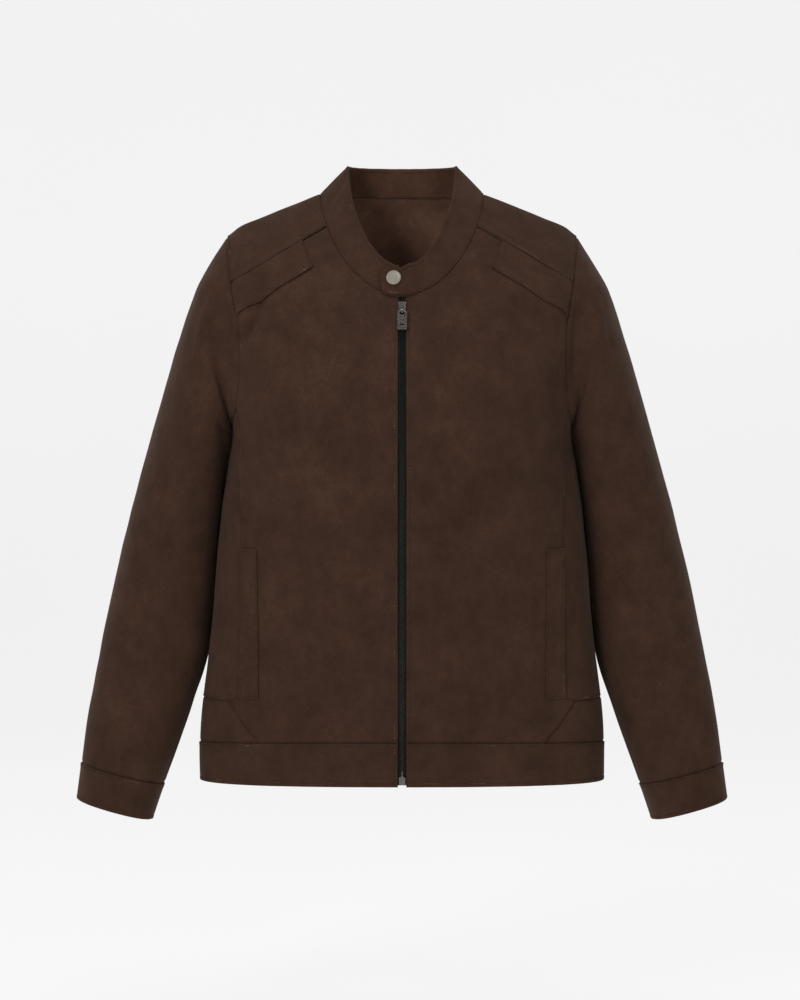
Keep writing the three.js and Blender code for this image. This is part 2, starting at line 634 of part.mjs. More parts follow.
// The least X that clears the body's left side at a depth and height.
function bodySide(y, z) {
  let row = 8;
  let angle = Math.PI / 2;
  for (let n = 0; n < 40; n++) {
    const p = smoothBody(angle, row);
    const pa = smoothBody(angle + ANGLE_STEP, row).sub(p).divideScalar(ANGLE_STEP);
    const pr = smoothBody(angle, row + ROW_STEP).sub(p).divideScalar(ROW_STEP);
    const det = pa.y * pr.z - pr.y * pa.z;
    const [my, mz] = [y - p.y, z - p.z];
    angle += clamp((my * pr.z - mz * pr.y) / det, -0.2, 0.2);
    row = clamp(row + clamp((mz * pa.y - my * pa.z) / det, -1, 1), 0, HEM_EDGE);
  }
  return smoothBody(angle, row).x;
}

function sleeveRing(row) {
  const ring = {};
  for (const column of Object.keys(SLEEVE_RINGS[0])) ring[column] = along(SLEEVE_RINGS, column, row);
  return ring;
}

// A point of the left sleeve's outer surface, or of the right one's as if it were on the left.
function sleeve(angle, row, side) {
  const ring = sleeveRing(row);
  const s = Math.sin(angle);
  const c = Math.cos(angle);
  const depth = s > 0 ? ring.front : ring.back;
  const middle = new THREE.Vector3((ring.ox + ring.ix) / 2, ring.mid, (ring.oz + ring.iz) / 2);
  const out = new THREE.Vector3((ring.ox - ring.ix) / 2, 0, (ring.oz - ring.iz) / 2);
  const radial = out
    .clone()
    .multiplyScalar(c * (1 + SLEEVE_SQUARE * s * s))
    .add(new THREE.Vector3(0, -depth * s * (1 + SLEEVE_SQUARE * c * c), 0));
  const turn = (((angle * 180) / Math.PI) % 360 + 360) % 360;
  const arc = (degrees) => degrees * DEGREE * SLEEVE_RADIUS;
  const depthOfFolds = SLEEVE_FOLDS.filter((fold) => fold.side === side).reduce((sum, fold) => {
    const { angle0, angle1, ring0, ring1, depth: deep, width } = fold;
    const ends = { x0: arc(angle0), z0: ring0 * RING_SPACING, x1: arc(angle1), z1: ring1 * RING_SPACING };
    return sum + trough(arc(turn), row * RING_SPACING, { ...ends, depth: deep, width });
  }, 0);
  const length = radial.length();
  return middle.addScaledVector(radial, (length - depthOfFolds) / length);
}

// A side's armhole edge as if it were on the left, drawn in by half a seam's gap, with the body's normals.
function armhole(side) {
  const places = chain(S.armholeFront, S.armholeTop, turned(S.armholeBack), turned(S.armholeFoot)).slice(0, -1);
  const points = toSide(onSide([places], side), side)[0];
  const count = points.length;
  const middle = points.reduce((sum, { p }) => sum.add(p), new THREE.Vector3()).divideScalar(count);
  return points.map(({ p, n }, i) => {
    const tangent = points[(i + 1) % count].p.clone().sub(points[(i + count - 1) % count].p);
    const inward = new THREE.Vector3().crossVectors(n, tangent).normalize();
    inward.multiplyScalar(Math.sign(inward.dot(middle.clone().sub(p))) * (SEAM_GAP / 2));
    return { p: p.clone().add(inward), n };
  });
}

const ARMHOLE = { 1: armhole(1), [-1]: armhole(-1) };

// The angle round the sleeve at which each point of the armhole starts it.
const SLEEVE_ANGLES = ARMHOLE[1].map(({ p }) => {
  const box = new THREE.Box3().setFromPoints(ARMHOLE[1].map((point) => point.p));
  const middle = box.getCenter(new THREE.Vector3());
  const size = box.getSize(new THREE.Vector3());
  return Math.atan2(-(p.y - middle.y) / size.y, (p.z - middle.z) / size.z);
});

// Rings of a sleeve at these rows, with their outward normals. The first may be the armhole's own edge.
function sleeveGrid(rows, side, fromArmhole) {
  const count = SLEEVE_ANGLES.length;
  const grid = rows.map((row) =>
    SLEEVE_ANGLES.map((angle, i) => {
      const p = sleeve(angle, row, side);
      const share = smooth(clamp(1 - row / HEAD_REACH, 0, 1));
      p.lerp(ARMHOLE[side][i].p, fromArmhole ? share : 0);
      if (row > 0 && p.z < ARMPIT) p.x = Math.max(p.x, bodySide(p.y, p.z) + SLEEVE_CLEARANCE);
      return p;
    }),
  );
  return grid.map((ring, j) =>
    ring.map((p, i) => {
      const over = ring[(i + 1) % count].clone().sub(ring[(i + count - 1) % count]);
      const down = grid[Math.min(j + 1, grid.length - 1)][i].clone().sub(grid[Math.max(j - 1, 0)][i]);
      const n = new THREE.Vector3().crossVectors(down, over).normalize();
      const middle = ring.reduce((sum, q) => sum.add(q), new THREE.Vector3()).divideScalar(count);
      n.multiplyScalar(Math.sign(n.dot(p.clone().sub(middle))));
      return { p, n: fromArmhole && j === 0 ? ARMHOLE[side][i].n : n };
    }),
  );
}

// The rings of a grid from one point of the armhole round to another.
const around = (grid, from, to) =>
  grid.map((ring) => Array.from({ length: to - from + 1 }, (_, i) => ring[(from + i) % ring.length]));

for (const [word, side] of SIDES) {
  const rows = Array.from(
    { length: CELLS.sleeve + 1 },
    (_, j) => CUFF_SEAM * Math.pow(j / CELLS.sleeve, SLEEVE_CROWDING),
  );
  const gapRow = SEAM_GAP / RING_SPACING;
  rows[CELLS.sleeve] -= gapRow / 2;
  const grid = toSide(sleeveGrid(rows, side, true), side);
  const { front, back } = SLEEVE_SEAMS;
  const pieces = {
    sleeve_top: around(grid, front, back + SLEEVE_ANGLES.length),
    sleeve_under: around(grid, back, front),
  };
  for (const [name, piece] of Object.entries(pieces))
    add(`${name}_${word}`, wall(drawnIn(piece, { start: true, end: true }), CLOTH), SUEDE);
  const cuffRows = [CUFF_SEAM + gapRow, (CUFF_SEAM + CUFF_EDGE) / 2, CUFF_EDGE];
  const cuff = toSide(sleeveGrid(cuffRows, side, false), side);
  add(`cuff_${word}`, wall(cuff, BAND_CLOTH, { round: true, lift: CUFF_PROUD }), SUEDE);
}

// Places of the front's middle line for the zip, as rows of points at these distances to the left.
function zipStrip(from, to, lefts) {
  return Array.from({ length: CELLS.zip + 1 }, (_, j) => {
    const row = lerp(from, to, j / CELLS.zip);
    return lefts.map((x) => bodyPoint(Math.asin(x / bodyRing(row).half), row));
  });
}

// The row of the front's middle line at a height.
const frontRow = (z) => locate({ x: 0, z }).r;

// A frame on the front's middle line: X to the left, Y up the zip, Z out.
function zipFrame(row, out) {
  const { p, n } = bodyPoint(0, row);
  const across = new THREE.Vector3(1, 0, 0);
  const up = new THREE.Vector3().crossVectors(n, across).normalize();
  return new THREE.Matrix4()
    .makeBasis(across, up, n)
    .setPosition(p.clone().addScaledVector(n, out));
}

function roundedPlate(topWide, footWide, long, corner) {
  const [t, f, h, c] = [topWide / 2, footWide / 2, long / 2, corner];
  const shape = new THREE.Shape();
  shape.moveTo(-f + c, -h);
  shape.lineTo(f - c, -h);
  shape.quadraticCurveTo(f, -h, f, -h + c);
  shape.lineTo(t, h - c);
  shape.quadraticCurveTo(t, h, t - c, h);
  shape.lineTo(-t + c, h);
  shape.quadraticCurveTo(-t, h, -t, h - c);
  shape.lineTo(-f, -h + c);
  shape.quadraticCurveTo(-f, -h, -f + c, -h);
  return shape;
}

const slab = (shape, depth) =>
  new THREE.ExtrudeGeometry(shape, { depth, bevelEnabled: false, curveSegments: 4 });

function solidOf(geometry) {
  const bare = new THREE.BufferGeometry();
  bare.setAttribute("position", geometry.getAttribute("position"));
  if (geometry.index) bare.setIndex(geometry.index);
  const merged = mergeVertices(bare, 1e-4);
  return new wasm.Manifold(
    new wasm.Mesh({
      numProp: 3,
      vertProperties: new Float32Array(merged.getAttribute("position").array),
      triVerts: new Uint32Array(merged.index.array),
    }),
  );
}

function joined(...geometries) {
  const { vertProperties, triVerts } = geometries
    .map(solidOf)
    .reduce((sum, solid) => sum.add(solid))
    .getMesh();
  const geometry = new THREE.BufferGeometry();
  geometry.setAttribute("position", new THREE.Float32BufferAttribute(vertProperties, 3));
  geometry.setIndex([...triVerts]);
  return geometry;
}

// The slider's plate lies over the chain, and its arch holds the pull's bar.
function slider() {
  const plate = slab(roundedPlate(SLIDER.wideTop, SLIDER.wideFoot, SLIDER.long, SLIDER.corner), SLIDER.thick);
  const axis = SLIDER.thick + ARCH.height;
  const side = new THREE.Shape();
  side.moveTo(-ARCH.outer, SLIDER.thick / 2);
  side.lineTo(-ARCH.outer, axis);
  side.absarc(0, axis, ARCH.outer, Math.PI, 0, true);
  side.lineTo(ARCH.outer, SLIDER.thick / 2);
  side.lineTo(ARCH.inner, SLIDER.thick / 2);
  side.lineTo(ARCH.inner, axis);
  side.absarc(0, axis, ARCH.inner, 0, Math.PI, false);
  side.lineTo(-ARCH.inner, SLIDER.thick / 2);
  side.closePath();
  const arch = new THREE.ExtrudeGeometry(side, { depth: ARCH.wide, bevelEnabled: false, curveSegments: 12 });
  arch.translate(0, 0, -ARCH.wide / 2);
  arch.applyMatrix4(
    new THREE.Matrix4().makeBasis(
      new THREE.Vector3(0, 1, 0),
      new THREE.Vector3(0, 0, 1),
      new THREE.Vector3(1, 0, 0),
    ),
  );
  arch.translate(0, ARCH.above, 0);
  return joined(plate, arch);
}

// The pull hangs from the origin, where its bar turns.
function pull() {
  const shape = roundedPlate(PULL.wide, PULL.wide, PULL.long, PULL.corner);
  const middle = PULL.long / 2 - PULL.bar / 2;
  const window = roundedPlate(PULL.windowWide, PULL.windowWide, PULL.windowLong, PULL.corner / 3);
  const slot = roundedPlate(PULL.slotWide, PULL.slotWide, PULL.slotLong, PULL.slotLong / 2);
  const hole = (outline, up) =>
    new THREE.Path(outline.getPoints(4).map(({ x, y }) => new THREE.Vector2(x, y + up)));
  shape.holes.push(hole(window, PULL.long / 2 - PULL.bar - PULL.windowLong / 2));
  shape.holes.push(hole(slot, -PULL.long / 2 + PULL.slotUp));
  const geometry = slab(shape, PULL.thick);
  geometry.translate(0, -middle, -PULL.thick / 2);
  return geometry;
}

function place(mesh, frame) {
  frame.decompose(mesh.position, mesh.quaternion, mesh.scale);
}

function buildZip() {
  const neckRow = frontRow(BODY_RINGS[NECK].zFront - CHAIN_BELOW_NECK);
  const sliderRow = frontRow(BODY_RINGS[NECK].zFront - SLIDER.below);
  const stopRow = frontRow(BODY_RINGS[HEM_EDGE].zFront + BOTTOM_STOP.up + BOTTOM_STOP.long / 2);
  const chainFoot = frontRow(BODY_RINGS[HEM_EDGE].zFront + BOTTOM_STOP.up + BOTTOM_STOP.long + SEAM_GAP);
  const teeth = zipStrip(chainFoot, neckRow, [-CHAIN_WIDTH / 2, CHAIN_WIDTH / 2]);
  add("zip_chain", wall(teeth, CHAIN_THICKNESS, { lift: -CHAIN_SUNK }), TEETH);
  for (const [word, side] of SIDES) {
    const edges = [SEAM_GAP / 2, TAPE_WIDTH].map((x) => x * side);
    const strip = zipStrip(frontRow(BODY_RINGS[HEM_EDGE].zFront + TAPE_ABOVE_HEM), neckRow, edges);
    add(`zip_tape_${word}`, wall(strip, TAPE_THICKNESS, { lift: -BAND_CLOTH }), TAPE);
  }
  place(add("zip_slider", slider(), STEEL), zipFrame(sliderRow, SLIDER.lift));
  const axis = zipFrame(sliderRow, SLIDER.lift + SLIDER.thick + ARCH.height);
  axis.multiply(new THREE.Matrix4().makeTranslation(0, ARCH.above, 0));
  place(add("zip_pull", pull(), STEEL), axis);
  const { wide, long, thick, corner } = BOTTOM_STOP;
  const stop = slab(roundedPlate(wide, wide, long, corner), thick);
  place(add("zip_stop", stop, STEEL), zipFrame(stopRow, -CHAIN_SUNK - CHAIN_THICKNESS));
}

buildZip();

// A round cap on the tab, flat behind and rounded at its rim.
function buildSnap() {
  const { radius, height, edge } = SNAP;
  const profile = [
    new THREE.Vector2(0, 0),
    new THREE.Vector2(radius - edge, 0),
    new THREE.Vector2(radius, edge),
  ];
  for (let i = 0; i <= 4; i++) {
    const t = (i / 4) * (Math.PI / 2);
    profile.push(new THREE.Vector2(radius - edge + edge * Math.cos(t), height - edge + edge * Math.sin(t)));
  }
  profile.push(new THREE.Vector2(0, height));
  const cap = new THREE.LatheGeometry(profile, CELLS.round);
  const halfThere = lerp(BODY_RINGS[NECK].half, COLLAR_RING.half, SNAP.up);
  const { p, n } = collarPoint(Math.asin(SNAP.x / halfThere), SNAP.up);
  const mesh = add("snap_cap", cap, STEEL);
  mesh.position.copy(p).addScaledVector(n, TAB_LIFT + SEAM_GAP);
  mesh.quaternion.setFromUnitVectors(new THREE.Vector3(0, 1, 0), n);
}

buildSnap();

export default jacket;
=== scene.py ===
"""A suede racer jacket, filled out as if worn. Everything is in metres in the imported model's frame.

The cloth's surfaces are worked out in millimetres from the same rings and seams as the solids.
The front faces -Y, so the wearer's left is +X.
"""

import math

import bmesh
import bpy
import numpy as np
from mathutils import Matrix, Vector


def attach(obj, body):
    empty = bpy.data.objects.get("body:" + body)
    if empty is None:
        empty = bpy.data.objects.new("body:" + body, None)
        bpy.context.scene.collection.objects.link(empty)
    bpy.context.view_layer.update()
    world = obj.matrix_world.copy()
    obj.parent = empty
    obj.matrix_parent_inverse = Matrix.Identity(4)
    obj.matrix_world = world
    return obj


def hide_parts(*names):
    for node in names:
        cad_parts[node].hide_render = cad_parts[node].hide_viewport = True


bl_info = {
    "name": "Suede Jacket",
    "version": (1, 0, 0),
    "blender": (4, 5, 0),
    "location": "View3D > Sidebar > Jacket",
    "description": "Builds a suede racer jacket with its stitching, zip and snap",
    "category": "Add Mesh",
}

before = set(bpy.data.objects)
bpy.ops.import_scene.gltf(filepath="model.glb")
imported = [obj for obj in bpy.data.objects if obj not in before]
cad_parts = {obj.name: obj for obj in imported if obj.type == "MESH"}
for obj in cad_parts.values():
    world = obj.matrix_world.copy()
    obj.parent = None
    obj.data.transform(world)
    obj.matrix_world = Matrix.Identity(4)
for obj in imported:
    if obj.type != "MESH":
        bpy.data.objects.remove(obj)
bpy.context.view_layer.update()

MM = 0.001
BODY = "jacket"
SIDES = (("left", 1), ("right", -1))
SEED = 11


# Sizes of the cut, in millimetres

RING_COLUMNS = ("half", "front", "back", "mid", "z_front", "z_side", "z_back", "square")
BODY_RINGS = (
    (93, 100, 50, 5, -122, 0, 3, 0),
    (126, 112, 72, 5, -146, -13, -16, 0.03),
    (160, 121, 90, 4, -172, -27, -47, 0.06),
    (189, 127, 103, 3, -200, -41, -86, 0.09),
    (210, 130, 111, 2, -228, -69, -130, 0.11),
    (213, 131, 116, 1, -256, -134, -176, 0.12),
    (204, 131, 118, 0, -283, -202, -222, 0.12),
    (192, 130, 118, 0, -311, -264, -268, 0.13),
    (197, 127, 115, 0, -341, -308, -312, 0.13),
    (203, 122, 109, 0, -373, -350, -352, 0.13),
    (208, 116, 103, 0, -411, -396, -398, 0.13),
    (212, 110, 97, 0, -453, -444, -446, 0.13),
    (216, 104, 92, 0, -496, -492, -492, 0.13),
    (221, 99, 88, 0, -540, -538, -538, 0.13),
    (226, 94, 85, 0, -578, -578, -578, 0.13),
    (228, 91, 83, 0, -615, -620, -620, 0.13),
    (228, 90, 82, 0, -663.5, -663, -663, 0.13),
)
NECK = 0
HEM_SEAM = len(BODY_RINGS) - 2
HEM_EDGE = len(BODY_RINGS) - 1
NECK_DIP = 1.3
ZIP_OPENING = 8

# Seams as they look from the front or the back: x from the middle, z up
YOKE_SEAM = ((84.5, -40), (111.5, -57), (140, -74), (166, -90.5), (190, -105))
ARMHOLE_FRONT = ((184, -246), (180.5, -216), (180.5, -180), (182.5, -145), (190, -105))
ARMHOLE_BACK = ((187, -246), (186, -214), (187, -178), (191, -142), (199, -106))
SIDE_SEAM = ((178, -400), (179, -356), (183, -300), (184, -246))
POCKET_SIDE = ((181, -567), (179, -480), (178, -400))
HIP_SEAM_START = (192, -570)
HIP_DIAGONAL_FOOT = (157, -613)
BACK_SIDE_SEAM = ((190, -570), (186, -480), (180, -400), (178, -320), (187, -246))
BACK_SIDE_FOOT = (191, -617)

# Seams over the shoulder and under the arm: angle round the body in degrees, and ring
ARMHOLE_TOP = ((78, 3.4), (92, 3.35), (106, 3.4))
ARMHOLE_FOOT = ((78, 6.85), (90, 7), (104, 6.85))
SHOULDER_SEAM_NECK_ANGLE = 118
HIP_SEAM_ROW = 13.75

# Soft troughs in the body from (x0, z0) to (x1, z1), as seen from the front (1) or the back (-1)
BODY_FOLD_COLUMNS = ("face", "x0", "z0", "x1", "z1", "depth", "width")
BODY_FOLDS = (
    (1, -150, -122, -168, -176, 4, 12),
    (1, 146, -118, 166, -200, 2.5, 12),
    (1, -100, -600, -20, -545, 3, 14),
    (1, 60, -600, 120, -500, 2.5, 16),
    (1, -30, -160, -40, -420, 2, 16),
    (1, 34, -150, 30, -470, 2, 16),
    (-1, -146, -160, -100, -330, 6, 15),
    (-1, 148, -168, 106, -345, 6, 15),
    (-1, -140, -450, 20, -480, 3.5, 16),
    (-1, 150, -500, 30, -530, 3, 15),
    (-1, 40, -120, 20, -300, 2.5, 20),
)
BODY_CREASES = (
    (1, -154, -126, -179, -179, 4.2, 4.6),
    (1, -148, -84, -154, -124, 2.4, 5.5),
    (1, -157, -137, -174, -171, 1.6, 4.5),
    (1, -143, -100, -146, -130, 1.0, 4),
    (1, 148, -97, 161, -122, 1.1, 4.5),
    (1, 151, -140, 146, -160, 0.9, 4),
    (1, 139, -190, 137, -216, 0.8, 4.5),
    (1, 104, -98, 108, -118, 0.8, 4),
    (1, 9, -500, 15, -612, 1.3, 6),
    (1, -12, -505, -9, -600, 1.2, 6),
    (1, -170, -250, -120, -215, 1.5, 9),
    (1, 172, -262, 128, -228, 1.4, 9),
    (1, -168, -330, -110, -372, 1.0, 11),
    (1, 60, -380, 150, -352, 1.0, 12),
    (1, -60, -300, -130, -318, 0.8, 10),
    (1, 30, -585, 110, -606, 1.2, 8),
    (1, -40, -596, -120, -606, 1.1, 8),
    (-1, -176, -205, -128, -258, 1.8, 8),
    (-1, 176, -212, 124, -268, 1.8, 8),
    (-1, -150, -300, -70, -330, 1.3, 10),
    (-1, 140, -380, 60, -396, 1.3, 10),
    (-1, -90, -560, 40, -585, 1.5, 10),
    (-1, 160, -590, 70, -600, 1.2, 8),
    (-1, -60, -90, -20, -130, 1.0, 9),
)

SLEEVE_COLUMNS = ("ox", "oz", "ix", "iz", "mid", "front", "back")
SLEEVE_RINGS = (
    (211, -70, 192, -264, -3, 72, 66),
    (226, -92, 191, -268, 0, 74, 68),
    (241, -130, 190, -273, 3, 75, 71),
    (257, -180, 191, -283, 7, 74, 73),
    (272.5, -232, 192, -300, 12, 72, 72),
    (288.5, -287, 195, -326, 17, 69, 70),
    (303.5, -342, 201, -366, 20, 66, 66),
    (317.5, -397, 207, -414, 21, 62, 61),
    (330.5, -452, 213, -468, 20, 58, 57),
    (341, -504, 220.5, -524, 16, 54, 53),
    (349.5, -553, 238, -578, 10, 50, 49),
    (357, -600, 254, -625, 3, 47, 46),
    (362, -643, 269, -667, -4, 44, 43),
    (367, -683, 281.5, -707, -10, 42, 41),
)
CUFF_SEAM = len(SLEEVE_RINGS) - 2
CUFF_EDGE = len(SLEEVE_RINGS) - 1
SLEEVE_SQUARE = 0.08
HEAD_REACH = 1.5
SLEEVE_CLEARANCE = 1.5
ARMPIT = -240
RING_SPACING = 50
SLEEVE_RADIUS = 62

# Soft troughs in a sleeve: angle is 0 at the outer end, 90 at the front, 180 at the body
SLEEVE_FOLD_COLUMNS = ("side", "ring0", "angle0", "ring1", "angle1", "depth", "width")
SLEEVE_FOLDS = (
    (1, 0.8, 70, 1.4, 150, 7, 16),
    (-1, 0.8, 65, 1.5, 150, 8, 16),
    (1, 1.2, 290, 2.0, 215, 6, 17),
    (-1, 1.2, 292, 2.2, 212, 7, 17),
    (1, 6.2, 60, 7.4, 130, 4, 18),
    (1, 8.3, 45, 8.0, 120, 4, 18),
    (-1, 6.6, 65, 7.6, 135, 4, 18),
    (-1, 8.7, 40, 8.2, 120, 4, 18),
    (1, 7.0, 300, 7.6, 225, 4, 18),
    (-1, 7.2, 305, 7.9, 230, 4, 18),
)
SLEEVE_CREASES = (
    (-1, 3.0, 138, 6.0, 165, 5, 13),
    (1, 3.2, 142, 6.0, 166, 4, 13),
    (1, 0.6, 40, 2.4, 62, 1.8, 8),
    (-1, 0.6, 44, 2.6, 58, 2.0, 8),
    (1, 2.6, 150, 4.0, 95, 1.6, 9),
    (-1, 2.4, 155, 3.7, 100, 1.8, 9),
    (1, 5.4, 110, 6.4, 55, 1.5, 9),
    (-1, 5.7, 112, 6.6, 60, 1.6, 9),
    (1, 7.1, 20, 7.5, 95, 1.6, 8),
    (-1, 7.4, 15, 7.7, 88, 1.5, 8),
    (1, 9.2, 100, 9.6, 40, 1.3, 9),
    (-1, 9.5, 105, 9.9, 45, 1.3, 9),
    (1, 11.0, 30, 11.3, 110, 1.2, 7),
    (-1, 10.8, 25, 11.2, 105, 1.2, 7),
    (1, 3.0, 240, 4.6, 280, 2.0, 10),
    (-1, 3.2, 238, 4.8, 276, 2.0, 10),
    (1, 8.4, 250, 8.8, 320, 1.8, 9),
    (-1, 8.6, 246, 9.0, 318, 1.8, 9),
    (1, 10.6, 230, 10.9, 300, 1.4, 8),
    (-1, 10.4, 235, 10.8, 305, 1.4, 8),
)

# Soft troughs beside the armhole: side, first and last cell round it, distance from it, depth and width
ARMHOLE_FOLDS = (
    (-1, 0.8, 8.6, 13, 6.0, 8),
    (1, 1.0, 8.2, 14, 4.8, 8),
    (-1, 13.6, 19.6, 15, 4.6, 9),
    (1, 13.9, 19.2, 14, 4.8, 9),
)

COLLAR_RING = (61, 90, 42, 4, -88, 32.5, 34, 0)
COLLAR_DIP = 1.2
COLLAR_BULGE = 0.5
COLLAR_CLOTH = 3
TAB_LIFT = COLLAR_CLOTH + 0.9
TAB_END = {"low_angle": -13, "low": -0.04, "high_angle": -19.5, "high": 0.62}
TAB_ROOT = {"low_angle": 6, "low": 0, "high_angle": 6, "high": 1}
TAB_FLAT_ANGLE = 16
# Creases in the collar: angle and height of both ends, depth and width
COLLAR_CREASES = (
    (-80, 0.85, -75, 0.2, 3.0, 3.4),
    (-74, 0.2, -58, 0.12, 1.8, 3.0),
    (-88, 0.8, -86, 0.1, 1.6, 4.0),
    (50, 0.85, 60, 0.25, 2.0, 4.5),
    (66, 0.8, 70, 0.2, 1.6, 4),
    (150, 0.9, 156, 0.1, 0.9, 5),
    (204, 0.9, 200, 0.1, 0.8, 5),
    (27, 0.9, 33, 0.2, 0.6, 4),
    (-34, 0.9, -30, 0.2, 0.7, 4),
)
COLLAR_MEAN_RADIUS = 80
COLLAR_HEIGHT = 36
# How far the collar's inside reaches down past the neck seam
COLLAR_ALLOWANCE = 2.2

# The solids' cells in each stretch of a seam, which set how the rows of two sides pair up
CELLS = {
    "across": 8,
    "diagonal": 3,
    "step": 1,
    "pocket": 6,
    "side": 6,
    "armhole_front": 8,
    "armhole_back": 6,
    "armhole_top": 6,
    "back_neck": 12,
    "hip": 5,
}
PATCH_ROWS = 2
PATCH_FIRST_COLUMN = 2
SAMPLES = 16
WELT_BIAS = 0.2


# Surfaces


def table(columns, rows):
    """The rows of a table as one array for each column."""
    return {name: np.array([row[i] for row in rows], float) for i, name in enumerate(columns)}


RINGS = table(RING_COLUMNS, BODY_RINGS)
SLEEVES = table(SLEEVE_COLUMNS, SLEEVE_RINGS)


def smooth(t):
    t = np.clip(t, 0, 1)
    return t * t * (3 - 2 * t)


def lerp(a, b, t):
    return a + (b - a) * t


def along(values, at):
    """A column of a table at row numbers that need not be whole, on a smooth curve."""
    last = len(values) - 1
    i = np.clip(np.floor(at).astype(int), 0, last - 1)
    t = at - i
    a, b, c, d = (values[np.clip(i + k, 0, last)] for k in (-1, 0, 1, 2))
    slope_b = np.where(i == 0, c - b, (c - a) / 2)
    slope_c = np.where(i == last - 1, c - b, (d - b) / 2)
    t2, t3 = t * t, t * t * t
    held = (2 * t3 - 3 * t2 + 1) * b + (3 * t2 - 2 * t3) * c
    return held + (t3 - 2 * t2 + t) * slope_b + (t3 - t2) * slope_c


def unit(v):
    return v / np.maximum(np.linalg.norm(v, axis=-1, keepdims=True), 1e-9)


def ring_point(ring, angle, dip):
    """A point of a ring: angle 0 is the middle of the front, a quarter turn the wearer's left side."""
    s, c = np.sin(angle), np.cos(angle)
    depth = np.where(c > 0, ring["front"], ring["back"])
    end = np.where(c > 0, ring["z_front"], ring["z_back"])
    square = ring["square"]
    x = ring["half"] * s * (1 + square * c * c)
    y = ring["mid"] - depth * c * (1 + square * s * s)
    z = ring["z_side"] + (end - ring["z_side"]) * np.abs(c) ** dip
    return np.stack(np.broadcast_arrays(x, y, z), axis=-1)


def smooth_body(angle, row):
    return ring_point({name: along(RINGS[name], row) for name in RING_COLUMNS}, angle, NECK_DIP)


def normals_of(surface, a, b, step_a=0.004, step_b=0.01):
    """Outward normals of a surface whose a runs round and b runs down."""
    by_a = surface(a + step_a, b) - surface(a - step_a, b)
    by_b = surface(a, b + step_b) - surface(a, b - step_b)
    return unit(np.cross(by_b, by_a))


def trough(x, z, x0, z0, x1, z1, depth, width):
    """Depth of a trough at (x, z): full along its middle, fading to its ends and sides."""
    dx, dz = x1 - x0, z1 - z0
    t = np.clip(((x - x0) * dx + (z - z0) * dz) / (dx * dx + dz * dz), 0, 1)
    away = np.hypot(x - x0 - t * dx, z - z0 - t * dz) / width
    return depth * (0.35 + 0.65 * np.sin(math.pi * t)) * np.exp(-away * away)


def body(angle, row):
    """The body's outer surface with its folds and creases."""
    p = smooth_body(angle, row)
    facing = np.sign(np.cos(angle))
    depth = np.zeros(p.shape[:-1])
    for face, x0, z0, x1, z1, deep, width in BODY_FOLDS + BODY_CREASES:
        depth += np.where(facing == face, trough(p[..., 0], p[..., 2], x0, z0, x1, z1, deep, width), 0)
    depth *= smooth(np.abs(np.cos(angle)) * 4)
    n = normals_of(smooth_body, angle, np.clip(row, 0.01, HEM_EDGE - 0.01))
    return p - n * depth[..., None]


def locate(points, from_back=False):
    """The angle and row of the body's surface at each (x, z), seen from the front or the back."""
    angles, rows = np.meshgrid(np.radians(np.arange(0, 91, 6.0)), np.arange(0, HEM_EDGE + 0.1, 0.5))
    if from_back:
        angles = math.pi - angles
    grid = smooth_body(angles, rows)
    places = []
    for x, z in points:
        best = np.argmin(np.hypot(grid[..., 0] - x, grid[..., 2] - z))
        a, r = angles.flat[best], rows.flat[best]
        for _ in range(30):
            p, pa, pr = smooth_body(np.array([a, a + 1e-3, a]), np.array([r, r, r + 1e-3]))
            by_a, by_r = (pa - p) / 1e-3, (pr - p) / 1e-3
            det = by_a[0] * by_r[2] - by_r[0] * by_a[2]
            mx, mz = x - p[0], z - p[2]
            a += np.clip((mx * by_r[2] - mz * by_r[0]) / det, -0.1, 0.1)
            r += np.clip((mz * by_a[0] - mx * by_a[2]) / det, -0.5, 0.5)
        places.append((a, r))
    return places


# Seams are arrays of (angle, row), SAMPLES to a cell


def course(places, cells):
    places = np.array(places, float)
    rows = np.linspace(0, len(places) - 1, cells * SAMPLES + 1)
    if len(places) == 2:
        return lerp(places[0], places[1], rows[:, None])
    return np.stack([along(places[:, k], rows) for k in (0, 1)], axis=-1)


def wider_last(start, end, cells):
    """A straight course whose cells grow wider towards its end, so that the pocket welt gets its width."""
    t = np.linspace(0, 1, cells * SAMPLES + 1)[:, None]
    return lerp(np.array(start), np.array(end), t - WELT_BIAS * np.sin(math.pi * t))


def chain(*stretches):
    return np.concatenate([s if i == 0 else s[1:] for i, s in enumerate(stretches)])


def mirrored(places):
    return np.stack([2 * math.pi - places[..., 0], places[..., 1]], axis=-1)


def at(edge, t):
    """Places of a seam at these cell numbers."""
    samples = np.arange(len(edge)) / SAMPLES
    return np.stack([np.interp(t, samples, edge[:, k]) for k in (0, 1)], axis=-1)


def cells_of(edge):
    return (len(edge) - 1) // SAMPLES


def closed_edge(row):
    half = along(RINGS["half"], np.asarray(row, float))
    return np.stack([np.arcsin(ZIP_OPENING / 2 / half), np.asarray(row, float)], axis=-1)


def level_at_zip(place):
    """The row of the front's edge at the zip that is level with a place on the body."""
    height = smooth_body(np.array([place[0]]), np.array([place[1]]))[0, 2]
    return locate([(ZIP_OPENING / 2, height)])[0][1]


